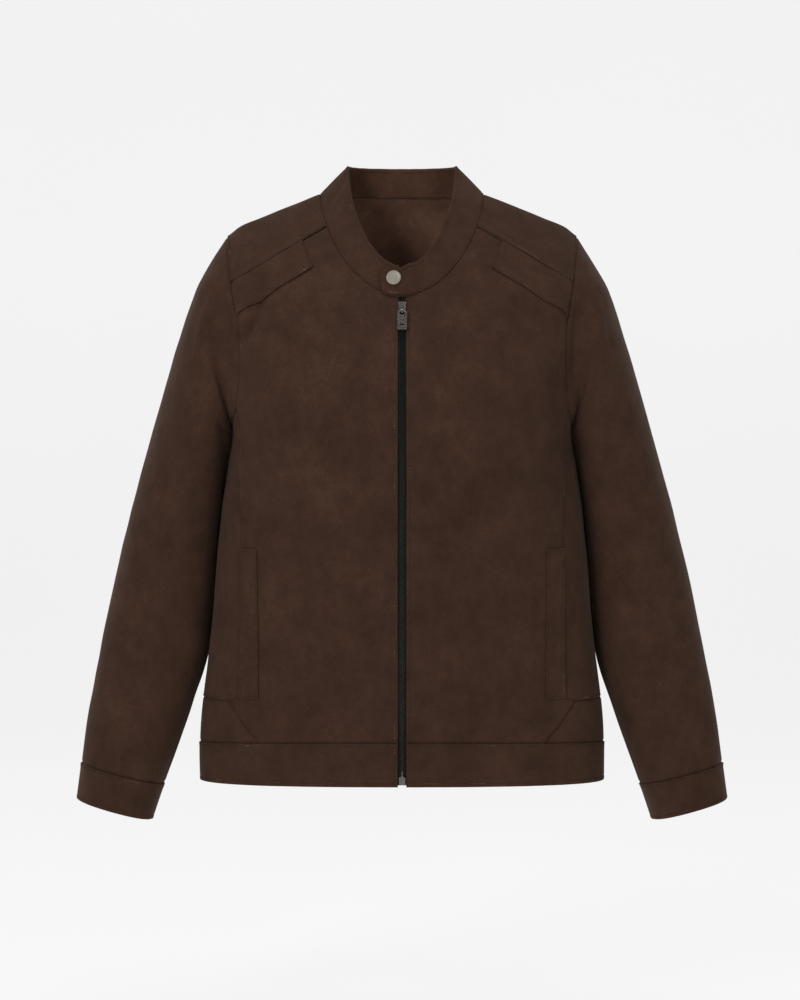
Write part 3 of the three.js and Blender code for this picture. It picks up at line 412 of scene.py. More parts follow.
class Patch:
    """Places between four seams: left and right run up, bottom and top run across."""

    def __init__(self, left, right, bottom, top):
        self.edges = left, right, bottom, top
        self.rows = cells_of(left)
        self.columns = cells_of(bottom)

    def places(self, u, v):
        left, right, bottom, top = self.edges
        s = (u / self.columns)[None, :, None]
        t = (v / self.rows)[:, None, None]
        sides = lerp(at(left, v)[:, None], at(right, v)[:, None], s)
        ends = lerp(at(bottom, u)[None], at(top, u)[None], t)
        corners = lerp(lerp(bottom[0], bottom[-1], s), lerp(top[0], top[-1], s), t)
        return sides + ends - corners


def seams():
    deg = math.radians
    yoke_points = locate(YOKE_SEAM)
    yoke_points[0] = (yoke_points[0][0], NECK)
    yoke = course(yoke_points, CELLS["across"])
    start = tuple(closed_edge(NECK))
    neck_front = course([start, yoke_points[0]], CELLS["armhole_front"])
    shoulder_neck = (deg(SHOULDER_SEAM_NECK_ANGLE), NECK)
    neck_shoulder = course([yoke_points[0], shoulder_neck], CELLS["armhole_top"])
    front_points = locate(ARMHOLE_FRONT)
    back_points = locate(ARMHOLE_BACK, True)
    armhole_front = course(front_points, CELLS["armhole_front"])
    armhole_back = course(back_points, CELLS["armhole_back"])
    over = [(deg(a), r) for a, r in ARMHOLE_TOP]
    under = [(deg(a), r) for a, r in ARMHOLE_FOOT]
    armhole_top = course([front_points[-1], *over, back_points[-1]], CELLS["armhole_top"])
    armhole_foot = course([front_points[0], *under, back_points[0]], CELLS["hip"] + CELLS["step"])
    shoulder = course([shoulder_neck, back_points[-1]], CELLS["across"])
    diagonal_foot = (locate([HIP_DIAGONAL_FOOT])[0][0], HEM_SEAM)
    hip_start = locate([HIP_SEAM_START])[0]
    diagonal = course([diagonal_foot, hip_start], CELLS["diagonal"])
    pocket_side = course(locate(POCKET_SIDE), CELLS["pocket"])
    step = course([hip_start, tuple(pocket_side[0])], CELLS["step"])
    side_seam = course([*locate(SIDE_SEAM)[:-1], front_points[0]], CELLS["side"])
    back_side_points = [*locate(BACK_SIDE_SEAM, True)[:-1], back_points[0]]
    back_side = course(back_side_points, CELLS["pocket"] + CELLS["side"])
    back_foot = (locate([BACK_SIDE_FOOT], True)[0][0], HEM_SEAM)
    hip_back = course([back_foot, back_side_points[0]], CELLS["diagonal"])
    hip_top = course([hip_start, (deg(90), HIP_SEAM_ROW), back_side_points[0]], CELLS["hip"])
    levels = [HEM_SEAM, *(level_at_zip(stretch[-1]) for stretch in (diagonal, step, pocket_side)), NECK]
    counts = [CELLS[name] for name in ("diagonal", "step", "pocket", "side")]
    rows = [np.linspace(levels[i], levels[i + 1], count * SAMPLES + 1) for i, count in enumerate(counts)]
    closing = closed_edge(chain(*rows))
    hem_front = wider_last(tuple(closed_edge(HEM_SEAM)), diagonal_foot, CELLS["across"])
    hem_hip = course([diagonal_foot, back_foot], CELLS["hip"])
    return {name: value for name, value in locals().items() if isinstance(value, np.ndarray)}


S = seams()
PANELS = {
    "front": Patch(
        chain(S["closing"], S["neck_front"]),
        chain(S["diagonal"], S["step"], S["pocket_side"], S["side_seam"], S["armhole_front"]),
        S["hem_front"],
        S["yoke"],
    ),
    "side": Patch(
        chain(S["pocket_side"], S["side_seam"]),
        S["back_side"],
        chain(S["step"][::-1], S["hip_top"]),
        S["armhole_foot"],
    ),
    "hip": Patch(S["diagonal"], S["hip_back"], S["hem_hip"], S["hip_top"]),
    "yoke": Patch(S["neck_shoulder"], S["armhole_top"], S["yoke"], S["shoulder"]),
}
BACK_LEFT = chain(S["hip_back"], S["back_side"], S["armhole_back"], S["shoulder"][::-1])
BACK = Patch(
    BACK_LEFT,
    mirrored(BACK_LEFT),
    course([BACK_LEFT[0], mirrored(BACK_LEFT[0])], CELLS["back_neck"]),
    course([BACK_LEFT[-1], mirrored(BACK_LEFT[-1])], CELLS["back_neck"]),
)
POCKET_ROW = CELLS["diagonal"] + CELLS["step"]
ARMHOLE_ROW = POCKET_ROW + CELLS["pocket"] + CELLS["side"]
EDGE_CELL = np.array((0, 0.03, 0.065, 0.1, 0.14, 0.185, 0.24, 0.32, 0.43, 0.58, 0.78))


def spread(first, last, per_cell):
    """Cell numbers from first to last, closer together near both ends."""
    start = first + EDGE_CELL
    end = last - EDGE_CELL[::-1]
    middle = np.linspace(first + 1, last - 1, max(int(round((last - first - 2) * per_cell)), 1) + 1)
    if last - first < 2:
        half = (last - first) / 2
        return np.unique(np.concatenate([first + EDGE_CELL * half, [first + half], last - EDGE_CELL * half]))
    return np.unique(np.round(np.concatenate([start, middle, end]), 6))


# Cloth


class Edge:
    """How one edge of a cut piece is sewn.

    rise is how far it stands over its neighbour, or under it where negative, round the radius of its
    fold, rows the distances of its topstitching from the edge and stop how far along they go.
    allowance is how far its inside runs on past the seam, under the neighbour.
    """

    def __init__(self, rise, round_, rows=(), reach=7.0, stop=1.0, allowance=0.0):
        self.rise = rise
        self.round = round_
        self.rows = rows
        self.reach = reach
        self.stop = stop
        self.allowance = allowance

    def offset(self, d, ripple):
        """How far the cloth stands out or in at distance d from the edge."""
        if self.rise < 0:
            out = self.rise * np.exp(-((d / 2.2) ** 2))
        else:
            out = self.rise * (1 - smooth(d / self.reach)) * (1 + 0.5 * ripple)
        near = np.exp(-((d / 6.0) ** 2)) if self.rows else 0 * d
        return out + 0.22 * ripple * near

    def grooves(self, d):
        return sum(-STITCH_GROOVE * np.exp(-(((d - row) / 0.9) ** 2)) for row in self.rows) + 0 * d

    def fold(self, d):
        r = self.round
        inside = np.clip(r - d, 0, r)
        return r - np.sqrt(np.maximum(r * r - inside * inside, 0))


STITCH_GROOVE = 0.35
LAP = Edge(0.5, 0.8, (2.6,))
YOKE_LAP = Edge(1.5, 0.8, (2.6,), reach=9.0)
TUCK = Edge(-1.0, 0.3, allowance=2.2)
DEEP_TUCK = Edge(-1.3, 0.4, allowance=2.2)
TUCK_ON_TOP = Edge(-1.0, 0.3)
BAND_TUCK = Edge(-1.0, 0.3, allowance=4.5)
TURNED = Edge(0.1, 0.95, (4.4,))
ZIP_EDGE = Edge(0.1, 0.95, (4.4,), stop=0.74)
MOUTH = Edge(0.5, 0.8, (3.4,))
COLLAR_TURNED = Edge(0.1, 1.3, (5.2,))
HEM_TURNED = Edge(0.1, 1.4, (4.8,))
NECK_EDGE = Edge(-0.2, 0.3)


def wander(p):
    """Soft unevenness of hand about one, from -1 to 1, with no fold in it."""
    x, y, z = p[..., 0], p[..., 1], p[..., 2]
    return (
        np.sin(x / 17.0 + 1.3 * np.sin(z / 41.0)) * np.sin(z / 23.0 + 0.7 + 1.1 * np.sin(x / 37.0))
        + np.sin(y / 19.0 + z / 47.0 + 2.1)
        + np.sin(x / 9.0 + z / 13.0 + 1.9 * np.sin(z / 29.0)) * 0.5
    ) / 2.5


def seam_ripple(p):
    """The pucker that topstitching leaves, uneven in length."""
    x, y, z = p[..., 0], p[..., 1], p[..., 2]
    along_seam = x * 0.9 + y * 0.7 + z
    pucker = np.sin(along_seam / 2.9 + 2.0 * np.sin(along_seam / 13.0))
    return pucker * (0.6 + 0.4 * np.sin(along_seam / 31.0))


def run_lengths(points, axis):
    """Distances of grid points from the first and the last along an axis."""
    steps = np.linalg.norm(np.diff(points, axis=axis), axis=-1)
    none = np.zeros_like(np.take(steps, [0], axis=axis))
    total = np.concatenate([none, np.cumsum(steps, axis=axis)], axis=axis)
    return total, np.take(total, [-1], axis=axis) - total


class Cloth:
    """A shell over a grid of points: rows run up, columns run round, and edges say how each is sewn."""

    def __init__(self, points, normals, thickness, edges, lift=0.0, round_=False, wave=0.75):
        self.points = points
        self.normals = normals
        self.thickness = thickness
        self.edges = edges
        self.round = round_
        self.draw_in()
        self.distance = {}
        self.distance["bottom"], self.distance["top"] = run_lengths(self.points, 0)
        self.distance["start"], self.distance["end"] = run_lengths(self.points, 1)
        ripple = seam_ripple(self.points)
        both = wave * wander(self.points)
        fold = np.zeros(both.shape)
        grooves = np.zeros(both.shape)
        for name, edge in edges.items():
            d = self.distance[name]
            both = both + edge.offset(d, ripple)
            grooves = grooves + edge.grooves(d)
            fold = np.maximum(fold, edge.fold(d))
        half = thickness * 0.49
        fold = np.minimum(fold, half)
        self.outer = self.points + self.normals * (lift + both + grooves - fold)[..., None]
        self.inner = self.points + self.normals * (lift - thickness + both + fold)[..., None]
        self.run_on_inside()

    def draw_in(self):
        """Keeps neighbours apart by drawing each edge in by half a seam's gap."""
        p = self.points = self.points.copy()
        p[0] += unit(p[1] - p[0]) * SEAM_GAP / 2
        p[-1] += unit(p[-2] - p[-1]) * SEAM_GAP / 2
        if not self.round:
            p[:, 0] += unit(p[:, 1] - p[:, 0]) * SEAM_GAP / 2
            p[:, -1] += unit(p[:, -2] - p[:, -1]) * SEAM_GAP / 2

    def run_on_inside(self):
        """Runs the inside on past each tucked edge, so that no light shows through the seam."""
        p = self.points
        outward = {
            "bottom": unit(p[:1] - p[1:2]),
            "top": unit(p[-1:] - p[-2:-1]),
            "start": unit(p[:, :1] - p[:, 1:2]),
            "end": unit(p[:, -1:] - p[:, -2:-1]),
        }
        for name, edge in self.edges.items():
            share = edge.allowance * np.exp(-((self.distance[name] / 1.5) ** 2))
            self.inner = self.inner + outward[name] * share[..., None]

    def stitch_line(self, name, distance, inside=False, trim=None):
        """Points and normals along an edge, this far in from it."""
        face = self.inner if inside else self.outer
        views = {
            "bottom": lambda g: g,
            "top": lambda g: g[::-1],
            "start": lambda g: np.swapaxes(g, 0, 1),
            "end": lambda g: np.swapaxes(g, 0, 1)[::-1],
        }
        points, normals = views[name](face), views[name](self.normals)
        away = run_lengths(points, 0)[0]
        line = np.empty((points.shape[1], 3))
        facing = np.empty_like(line)
        for k in range(points.shape[1]):
            for c in range(3):
                line[k, c] = np.interp(distance, away[:, k], points[:, k, c])
                facing[k, c] = np.interp(distance, away[:, k], normals[:, k, c])
        if self.round:
            line = np.concatenate([line, line[:1]])
            facing = np.concatenate([facing, facing[:1]])
        return Line(line, unit(facing) * (-1 if inside else 1)).trimmed(distance if trim is None else trim)

    def stitch_lines(self):
        return [
            self.stitch_line(name, d).until(edge.stop) for name, edge in self.edges.items() for d in edge.rows
        ]

    def faces(self):
        rows, columns = self.points.shape[:2]
        cells = columns if self.round else columns - 1
        j, i = np.meshgrid(np.arange(rows - 1), np.arange(cells), indexing="ij")
        after = (i + 1) % columns
        size = rows * columns
        here, above = j * columns, (j + 1) * columns
        quads = [np.stack([here + i, here + after, above + after, above + i], -1)]
        quads.append(quads[0][..., ::-1] + size)
        rims = []
        for row in (0, rows - 1):
            a = row * columns + np.arange(cells)
            b = row * columns + (np.arange(cells) + 1) % columns
            rims.append(np.stack([a, a + size, b + size, b] if row == 0 else [a, b, b + size, a + size], -1))
        if not self.round:
            for column in (0, columns - 1):
                a = np.arange(rows - 1) * columns + column
                b = a + columns
                rim = [a, b, b + size, a + size] if column == 0 else [a, a + size, b + size, b]
                rims.append(np.stack(rim, -1))
        outer, inner = (q.reshape(-1, 4) for q in quads)
        rim = np.concatenate(rims)
        inside = np.concatenate([np.zeros(len(outer)), np.ones(len(inner)), np.zeros(len(rim))]).astype(int)
        return np.concatenate([outer, inner, rim]), inside

    def flat_size(self):
        """The cut: greatest width and length in metres, and the area that it fills."""
        steps = np.diff(self.outer, axis=1)
        ups = np.diff(self.outer, axis=0)
        crossed = np.cross(steps[:-1], ups[:, :-1])
        area = np.linalg.norm(crossed, axis=-1).sum() * MM * MM
        width = np.linalg.norm(steps, axis=-1).sum(axis=1).max() * MM
        length = np.linalg.norm(ups, axis=-1).sum(axis=0).max() * MM
        return width, length, area


class Line:
    """A course for stitches: points with the directions that they face."""

    def __init__(self, points, normals):
        self.points = points
        self.normals = normals

    def resampled(self, distances):
        away = run_lengths(self.points, 0)[0]
        points = np.stack([np.interp(distances, away, self.points[:, c]) for c in range(3)], -1)
        normals = np.stack([np.interp(distances, away, self.normals[:, c]) for c in range(3)], -1)
        return points, unit(normals)

    def length(self):
        return run_lengths(self.points, 0)[0][-1]

    def trimmed(self, by):
        total = self.length()
        distances = np.linspace(by, total - by, max(int(total / 1.5), 3))
        return Line(*self.resampled(distances))

    def until(self, share):
        """The first part of the course, as a share of its length."""
        return Line(*self.resampled(np.linspace(0, self.length() * share, len(self.points))))


SEAM_GAP = 0.3
CLOTH = 2.0
PATCH_CLOTH = 1.5
BAND_CLOTH = 3.0
BAND_PROUD = 0.6
CUFF_PROUD = 0.5
PATCH_LIFT = 1.75


def mesh_object(name, vertices, faces, materials, slots=None, smooth_faces=True):
    """A mesh object from millimetre points."""
    mesh = bpy.data.meshes.new(name)
    mesh.from_pydata((np.asarray(vertices) * MM).tolist(), [], [list(map(int, f)) for f in faces])
    for material in materials:
        mesh.materials.append(material)
    if slots is not None:
        mesh.polygons.foreach_set("material_index", np.asarray(slots, np.int32))
    mesh.polygons.foreach_set("use_smooth", np.full(len(mesh.polygons), smooth_faces))
    mesh.validate()
    piece = bpy.data.objects.new(name, mesh)
    bpy.context.scene.collection.objects.link(piece)
    return piece


def face_out(vertices, quads):
    """The same faces, turned round if they point in."""
    a, b, c, d = (vertices[quads[:, k]] for k in range(4))
    volume = np.einsum("ij,ij->", a, np.cross(b, c)) + np.einsum("ij,ij->", a, np.cross(c, d))
    return quads if volume > 0 else quads[:, ::-1]


def cloth_piece(name, cloth, finishes, nodes, slot="suede", held="hung"):
    """A sewn piece that stands for its nodes of the model."""
    vertices = np.concatenate([cloth.outer.reshape(-1, 3), cloth.inner.reshape(-1, 3)])
    quads, slots = cloth.faces()
    piece = mesh_object(name, vertices, face_out(vertices, quads), finishes, slots)
    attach(piece, BODY)
    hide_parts(*nodes)
    width, length, area = cloth.flat_size()
    cut = (round(width, 3), round(length, 3))
    return piece


def panel_cloth(patch, side, edges, per_cell, span=None, lift=0.0, thickness=CLOTH):
    """A cut panel of the body between its seams, or a part of one over a span of cells."""
    u0, u1, v0, v1 = span or (0, patch.columns, 0, patch.rows)
    places = patch.places(spread(u0, u1, per_cell[0]), spread(v0, v1, per_cell[1]))
    a, r = places[..., 0] * side, places[..., 1]
    normals = normals_of(body, a, np.clip(r, 0.01, HEM_EDGE - 0.01))
    return Cloth(body(a, r), normals, thickness, edges, lift)


def collar_surface(angle, height):
    low = ring_point(dict(zip(RING_COLUMNS, BODY_RINGS[NECK])), angle, NECK_DIP)
    high = ring_point(dict(zip(RING_COLUMNS, COLLAR_RING)), angle, COLLAR_DIP)
    p = lerp(low, high, height[..., None])
    outward = unit(np.stack([p[..., 0], p[..., 1] - COLLAR_RING[3], np.zeros_like(height)], -1))
    bulge = COLLAR_BULGE * 4 * height * (1 - height)
    turn = (np.degrees(angle) + 180) % 360 - 180
    for a0, h0, a1, h1, depth, width in COLLAR_CREASES:
        arc = np.radians((turn - a0 + 180) % 360 - 180) * COLLAR_MEAN_RADIUS
        arc1 = math.radians(a1 - a0) * COLLAR_MEAN_RADIUS
        z0, z1 = h0 * COLLAR_HEIGHT, h1 * COLLAR_HEIGHT
        bulge = bulge - trough(arc, height * COLLAR_HEIGHT, 0, z0, arc1, z1, depth, width)
    return p + outward * bulge[..., None]


def collar_normals(angle, height):
    return normals_of(lambda a, h: collar_surface(a, -h), angle, -height)


def tab_places(across, up):
    """Angle and height of places on the tab, across from its end to its root."""
    low = lerp(TAB_END["low_angle"], TAB_ROOT["low_angle"], across)
    high = lerp(TAB_END["high_angle"], TAB_ROOT["high_angle"], across)
    bottom = lerp(TAB_END["low"], TAB_ROOT["low"], across)
    top = lerp(TAB_END["high"], TAB_ROOT["high"], across)
    return np.radians(lerp(low, high, up)), lerp(bottom, top, up)


def collar_cloth():
    up = spread(0, 3, 5) / 3
    end = 2 * math.pi - float(closed_edge(NECK)[0])
    root = math.radians(TAB_ROOT["low_angle"])
    lapped = spread(0, 5, 4)[:, None] / 5
    tab_angle, tab_height = tab_places(lapped, up[None])
    round_ = np.concatenate([np.linspace(root, end - 0.12, 300)[1:], np.linspace(end - 0.12, end, 14)[1:]])
    rest_angle, rest_height = np.broadcast_arrays(round_[:, None], up[None])
    angle = np.concatenate([tab_angle, rest_angle]).T
    height = np.concatenate([tab_height, rest_height]).T
    flat = math.radians(TAB_FLAT_ANGLE)
    normals = collar_normals(angle, height)
    lift = TAB_LIFT * smooth((flat - angle) / (flat - root))
    edges = {
        "bottom": Edge(0.1, 0.9, (2.6,)),
        "top": COLLAR_TURNED,
        "start": Edge(0.0, 1.2, (3.2,)),
        "end": Edge(0.0, 1.2, (3.2,)),
    }
    points = collar_surface(angle, height) + normals * lift[..., None]
    cloth = Cloth(points, normals, COLLAR_CLOTH, edges, wave=0.2)
    cloth.inner[..., 2] -= COLLAR_ALLOWANCE * np.exp(-((cloth.distance["bottom"] / 2.5) ** 2))
    return cloth


def body_side(y, z):
    """The least X that clears the body's left side at these depths and heights."""
    row = np.full(np.shape(y), 8.0)
    angle = np.full(np.shape(y), math.pi / 2)
    for _ in range(40):
        p = smooth_body(angle, row)
        by_a = (smooth_body(angle + 1e-3, row) - p) / 1e-3
        by_r = (smooth_body(angle, row + 1e-3) - p) / 1e-3
        det = by_a[..., 1] * by_r[..., 2] - by_r[..., 1] * by_a[..., 2]
        my, mz = y - p[..., 1], z - p[..., 2]
        angle = angle + np.clip((my * by_r[..., 2] - mz * by_r[..., 1]) / det, -0.2, 0.2)
        row = np.clip(row + np.clip((mz * by_a[..., 1] - my * by_a[..., 2]) / det, -1, 1), 0, HEM_EDGE)
    return smooth_body(angle, row)[..., 0]


def sleeve_surface(angle, row, side):
    """The left sleeve's outer surface, or the right one's as if it were on the left."""
    ring = {name: along(SLEEVES[name], row) for name in SLEEVE_COLUMNS}
    s, c = np.sin(angle), np.cos(angle)
    depth = np.where(s > 0, ring["front"], ring["back"])
    middle = np.stack([(ring["ox"] + ring["ix"]) / 2, ring["mid"], (ring["oz"] + ring["iz"]) / 2], -1)
    reach = c * (1 + SLEEVE_SQUARE * s * s) / 2
    radial = np.stack(
        [
            (ring["ox"] - ring["ix"]) * reach,
            -depth * s * (1 + SLEEVE_SQUARE * c * c),
            (ring["oz"] - ring["iz"]) * reach,
        ],
        -1,
    )
    turn = np.degrees(angle) % 360
    arc = math.radians(1) * SLEEVE_RADIUS
    folds = np.zeros(np.shape(angle))
    for of, ring0, angle0, ring1, angle1, depth_, width in SLEEVE_FOLDS + SLEEVE_CREASES:
        if of == side:
            z0, z1 = ring0 * RING_SPACING, ring1 * RING_SPACING
            folds += trough(turn * arc, row * RING_SPACING, angle0 * arc, z0, angle1 * arc, z1, depth_, width)
    length = np.linalg.norm(radial, axis=-1)
    return middle + radial * ((length - folds) / length)[..., None]


ARMHOLE = chain(S["armhole_front"], S["armhole_top"], S["armhole_back"][::-1], S["armhole_foot"][::-1])
ARMHOLE_CELLS = cells_of(ARMHOLE)


def armhole_points(side, t):
    """A side's armhole edge as if on the left, at these cells round it."""
    places = at(ARMHOLE, t % ARMHOLE_CELLS)
    a, r = places[..., 0] * side, places[..., 1]
    points, normals = body(a, r), normals_of(body, a, r)
    points[..., 0] *= side
    normals[..., 0] *= side
    return points, normals


def armhole_edge(side, t):
    """The sleeve's own edge in the armhole, drawn in by half a seam's gap."""
    points, normals = armhole_points(side, t)
    tangent = armhole_points(side, t + 0.06)[0] - armhole_points(side, t - 0.06)[0]
    centre = armhole_points(side, np.arange(0, ARMHOLE_CELLS, 0.25))[0].mean(axis=0)
    inward = unit(np.cross(normals, tangent))
    towards = np.einsum("ij,ij->i", inward, centre - points)
    return points + inward * np.sign(towards)[:, None] * SEAM_GAP / 2, normals


def pressed_beside_armhole(p, side, columns):
    """Presses a sleeve's points in where it folds beside the armhole."""
    n = unit(np.cross(np.gradient(p, axis=0), np.gradient(p, axis=1)))
    n *= np.sign(np.einsum("jik,jik->ji", n, p - p.mean(axis=1, keepdims=True)).sum())
    away = run_lengths(p, 0)[0]
    cell = (columns % ARMHOLE_CELLS)[None]
    depth = np.zeros(away.shape)
    for of, first, last, distance, deep, width in ARMHOLE_FOLDS:
        share = smooth(1.3 * np.sin(math.pi * np.clip((cell - first) / (last - first), 0, 1)))
        depth += (of == side) * deep * share * np.exp(-(((away - distance) / width) ** 2))
    return p - n * depth[..., None]


def sleeve_grid(rows, side, columns, from_armhole=True, round_=False):
    """Points and outward normals of a sleeve's rings, at these cells round the armhole."""
    edge, edge_normals = armhole_edge(side, columns)
    loop = armhole_points(1, np.arange(ARMHOLE_CELLS))[0]
    low, high = loop.min(axis=0), loop.max(axis=0)
    middle, size = (low + high) / 2, high - low
    start = armhole_points(1, columns)[0]
    angle = np.arctan2(-(start[:, 1] - middle[1]) / size[1], (start[:, 2] - middle[2]) / size[2])
    angle, row = np.meshgrid(angle, rows)
    p = sleeve_surface(angle, row, side)
    if from_armhole:
        p = lerp(p, edge[None], smooth(1 - row / HEAD_REACH)[..., None])
        p = pressed_beside_armhole(p, side, columns)
    low_enough = (row > 0) & (p[..., 2] < ARMPIT)
    clear = body_side(p[..., 1], p[..., 2]) + SLEEVE_CLEARANCE
    p[..., 0] = np.where(low_enough, np.maximum(p[..., 0], clear), p[..., 0])
    over = np.roll(p, -1, 1) - np.roll(p, 1, 1) if round_ else np.gradient(p, axis=1)
    n = unit(np.cross(np.gradient(p, axis=0), over))
    ring = {name: along(SLEEVES[name], rows) for name in SLEEVE_COLUMNS}
    centre = np.stack([(ring["ox"] + ring["ix"]) / 2, ring["mid"], (ring["oz"] + ring["iz"]) / 2], -1)
    away = np.einsum("jik,jik->ji", n, p - centre[:, None])
    n *= np.sign(away.sum())
    if from_armhole:
        n = unit(lerp(n, edge_normals[None], smooth(1 - row / 0.12)[..., None]))
    return p, n


def on_side(grid, side):
    return grid * np.array([side, 1, 1])


def hem_cloth():
    rows = lerp(float(HEM_EDGE), float(HEM_SEAM), spread(0, 2, 5) / 2)
    share = spread(0, 48, 8)[None, :] / 48
    start = closed_edge(rows)[:, :1]
    angle = lerp(start, 2 * math.pi - start, share)
    row = np.broadcast_to(rows[:, None], angle.shape)
    normals = normals_of(body, angle, np.clip(row, 0.01, HEM_EDGE - 0.01))
    edges = {"bottom": HEM_TURNED, "top": LAP, "start": TURNED, "end": TURNED}
    return Cloth(body(angle, row), normals, BAND_CLOTH, edges, BAND_PROUD)


def sleeve_cloth(side, first, last, edges):
    """One of a sleeve's two pieces, between these cells of the armhole."""
    share = spread(0, 24, 7) / 24
    rows = (CUFF_SEAM - SEAM_GAP / RING_SPACING / 2) * share**1.1
    points, normals = sleeve_grid(rows, side, spread(first, last, 5))
    return Cloth(on_side(points, side), on_side(normals, side), CLOTH, edges)


def cuff_cloth(side):
    rows = lerp(CUFF_SEAM + SEAM_GAP / RING_SPACING, float(CUFF_EDGE), spread(0, 2, 5) / 2)
    columns = np.arange(0, ARMHOLE_CELLS, 0.16)
    points, normals = sleeve_grid(rows, side, columns, from_armhole=False, round_=True)
    edges = {"bottom": LAP, "top": HEM_TURNED}
    return Cloth(on_side(points, side), on_side(normals, side), BAND_CLOTH, edges, CUFF_PROUD, round_=True)


# Sleeve pieces as cells round the armhole, from the front of the armpit up, over and round under the arm
SLEEVE_FRONT_SEAM = 24
SLEEVE_BACK_SEAM = 17


# Sewing thread


def stitch_mesh(lines, pitch, long, wide, thick):
    """Vertices and faces of a row of thread stitches along each line."""
    turns = np.radians(np.arange(0, 360, 60))
    stations = ((-0.5, 0.35), (-0.42, 0.8), (0.0, 1.0), (0.42, 0.8), (0.5, 0.35))
    shape = np.array([(t, r * math.cos(u), r * math.sin(u)) for t, r in stations for u in turns])
    shape *= (long, wide / 2, thick / 2)
    count = len(turns)
    quads = [
        (k * count + i, k * count + (i + 1) % count, (k + 1) * count + (i + 1) % count, (k + 1) * count + i)
        for k in range(len(stations) - 1)
        for i in range(count)
    ]
    ends = [tuple(range(count))[::-1], tuple(range((len(stations) - 1) * count, len(stations) * count))]
    vertices, faces = [], []
    for line in lines:
        total = line.length()
        centres = np.arange(pitch / 2, total - pitch / 4, pitch)
        if not len(centres):
            continue
        c, n = line.resampled(centres)
        before = line.resampled(np.maximum(centres - long / 2, 0))[0]
        after = line.resampled(np.minimum(centres + long / 2, total))[0]
        t = unit(after - before)
        b = unit(np.cross(n, t))
        n = np.cross(t, b)
        for k in range(len(c)):
            base = len(vertices) * len(shape)
            vertices.append(c[k] + shape[:, :1] * t[k] + shape[:, 1:2] * b[k] + (shape[:, 2:] + 0.02) * n[k])
            faces.extend([tuple(v + base for v in face) for face in quads + ends])
    return np.concatenate(vertices), faces


# Zip


def front_row(z):
    return locate([(0, z)])[0][1]


def zip_frame(row, out):
    """A frame on the front's middle line: X to the left, Y up the zip, Z out."""
    zero = np.zeros(1)
    p = body(zero, zero + row)[0]
    n = Vector(normals_of(body, zero, zero + row)[0])
    across = Vector((1, 0, 0))
    up = n.cross(across).normalized()
    matrix = Matrix((across, up, n)).transposed().to_4x4()
    matrix.translation = (Vector(p) + n * out) * MM
    return matrix


SLIDER = {"below": 16.3, "long": 17, "top": 10, "foot": 7.6, "thick": 1.8, "corner": 1.6, "lift": 0.5}
ARCH = {"inner": 1.6, "outer": 2.9, "wide": 2.4, "height": 1.7, "above": -4.6}
PULL = {"long": 24, "wide": 11.2, "thick": 1.6, "corner": 2.6, "bar": 1.6}
PULL_WINDOW = {"wide": 4.6, "long": 4.2}
PULL_SLOT = {"wide": 5.4, "long": 1.9, "up": 6.4}
STOP = {"wide": 7.4, "long": 8.5, "thick": 2.4, "corner": 1, "up": 3}
SNAP = {"x": -8.8, "up": 0.5, "radius": 8.2, "height": 2.2}
TAPE_WIDTH = 14
TAPE_CLOTH = 1.0
CHAIN_SUNK = 0.4
CHAIN_THICKNESS = 1.5
CHAIN_WIDTH = 5.8
TAPE_ABOVE_HEM = 2


def rounded_outline(top, foot, long, corner, up=0.0, steps=6):
    """A plate's outline with rounded corners, its middle this far up."""
    corners = ((foot / 2, -1, 0), (top / 2, 1, 1), (-top / 2, 1, 2), (-foot / 2, -1, 3))
    points = []
    for x, end, quarter in corners:
        cx = x - math.copysign(corner, x)
        cy = end * (long / 2 - corner) + up
        for k in range(steps + 1):
            turn = math.radians(-90 + 90 * quarter + 90 * k / steps)
            points.append((cx + corner * math.cos(turn), cy + corner * math.sin(turn)))
    return points


def bevelled_plate(name, outline, holes, thick, bevel):
    """A flat plate with rounded edges, its middle at Z = 0, as a mesh in metres."""
    curve = bpy.data.curves.new(name, "CURVE")
    curve.dimensions = "2D"
    curve.fill_mode = "BOTH"
    curve.extrude = (thick / 2 - bevel) * MM
    curve.bevel_depth = bevel * MM
    curve.bevel_resolution = 3
    curve.offset = -bevel * MM
    for loop in [outline] + [hole[::-1] for hole in holes]:
        spline = curve.splines.new("POLY")
        spline.points.add(len(loop) - 1)
        for point, (x, y) in zip(spline.points, loop):
            point.co = (x * MM, y * MM, 0, 1)
        spline.use_cyclic_u = True
    holder = bpy.data.objects.new(name, curve)
    bpy.context.scene.collection.objects.link(holder)
    shape = holder.evaluated_get(bpy.context.evaluated_depsgraph_get())
    mesh = bpy.data.meshes.new_from_object(shape)
    bpy.data.objects.remove(holder)
    return mesh


def arch_outline(axis, root):
    outer, inner = ARCH["outer"], ARCH["inner"]
    turns = [math.pi * k / 12 for k in range(13)]
    outside = [(outer * math.cos(t), axis + outer * math.sin(t)) for t in turns]
    inside = [(inner * math.cos(t), axis + inner * math.sin(t)) for t in reversed(turns)]
    return [(outer, root)] + outside + [(-outer, root), (-inner, root)] + inside + [(inner, root)]


def joined_meshes(name, placed, material):
    """One object from meshes and the frames that they go in."""
    vertices, faces = [], []
    for mesh, matrix in placed:
        base = len(vertices)
        vertices += [matrix @ v.co for v in mesh.vertices]
        faces += [[base + i for i in face.vertices] for face in mesh.polygons]
    mesh = bpy.data.meshes.new(name)
    mesh.from_pydata(vertices, [], faces)
    mesh.materials.append(material)
    piece = bpy.data.objects.new(name, mesh)
    bpy.context.scene.collection.objects.link(piece)
    return piece


def metal_piece(piece, body_name, slot, *nodes):
    mark_sharp(piece.data)
    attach(piece, body_name)
    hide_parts(*nodes)


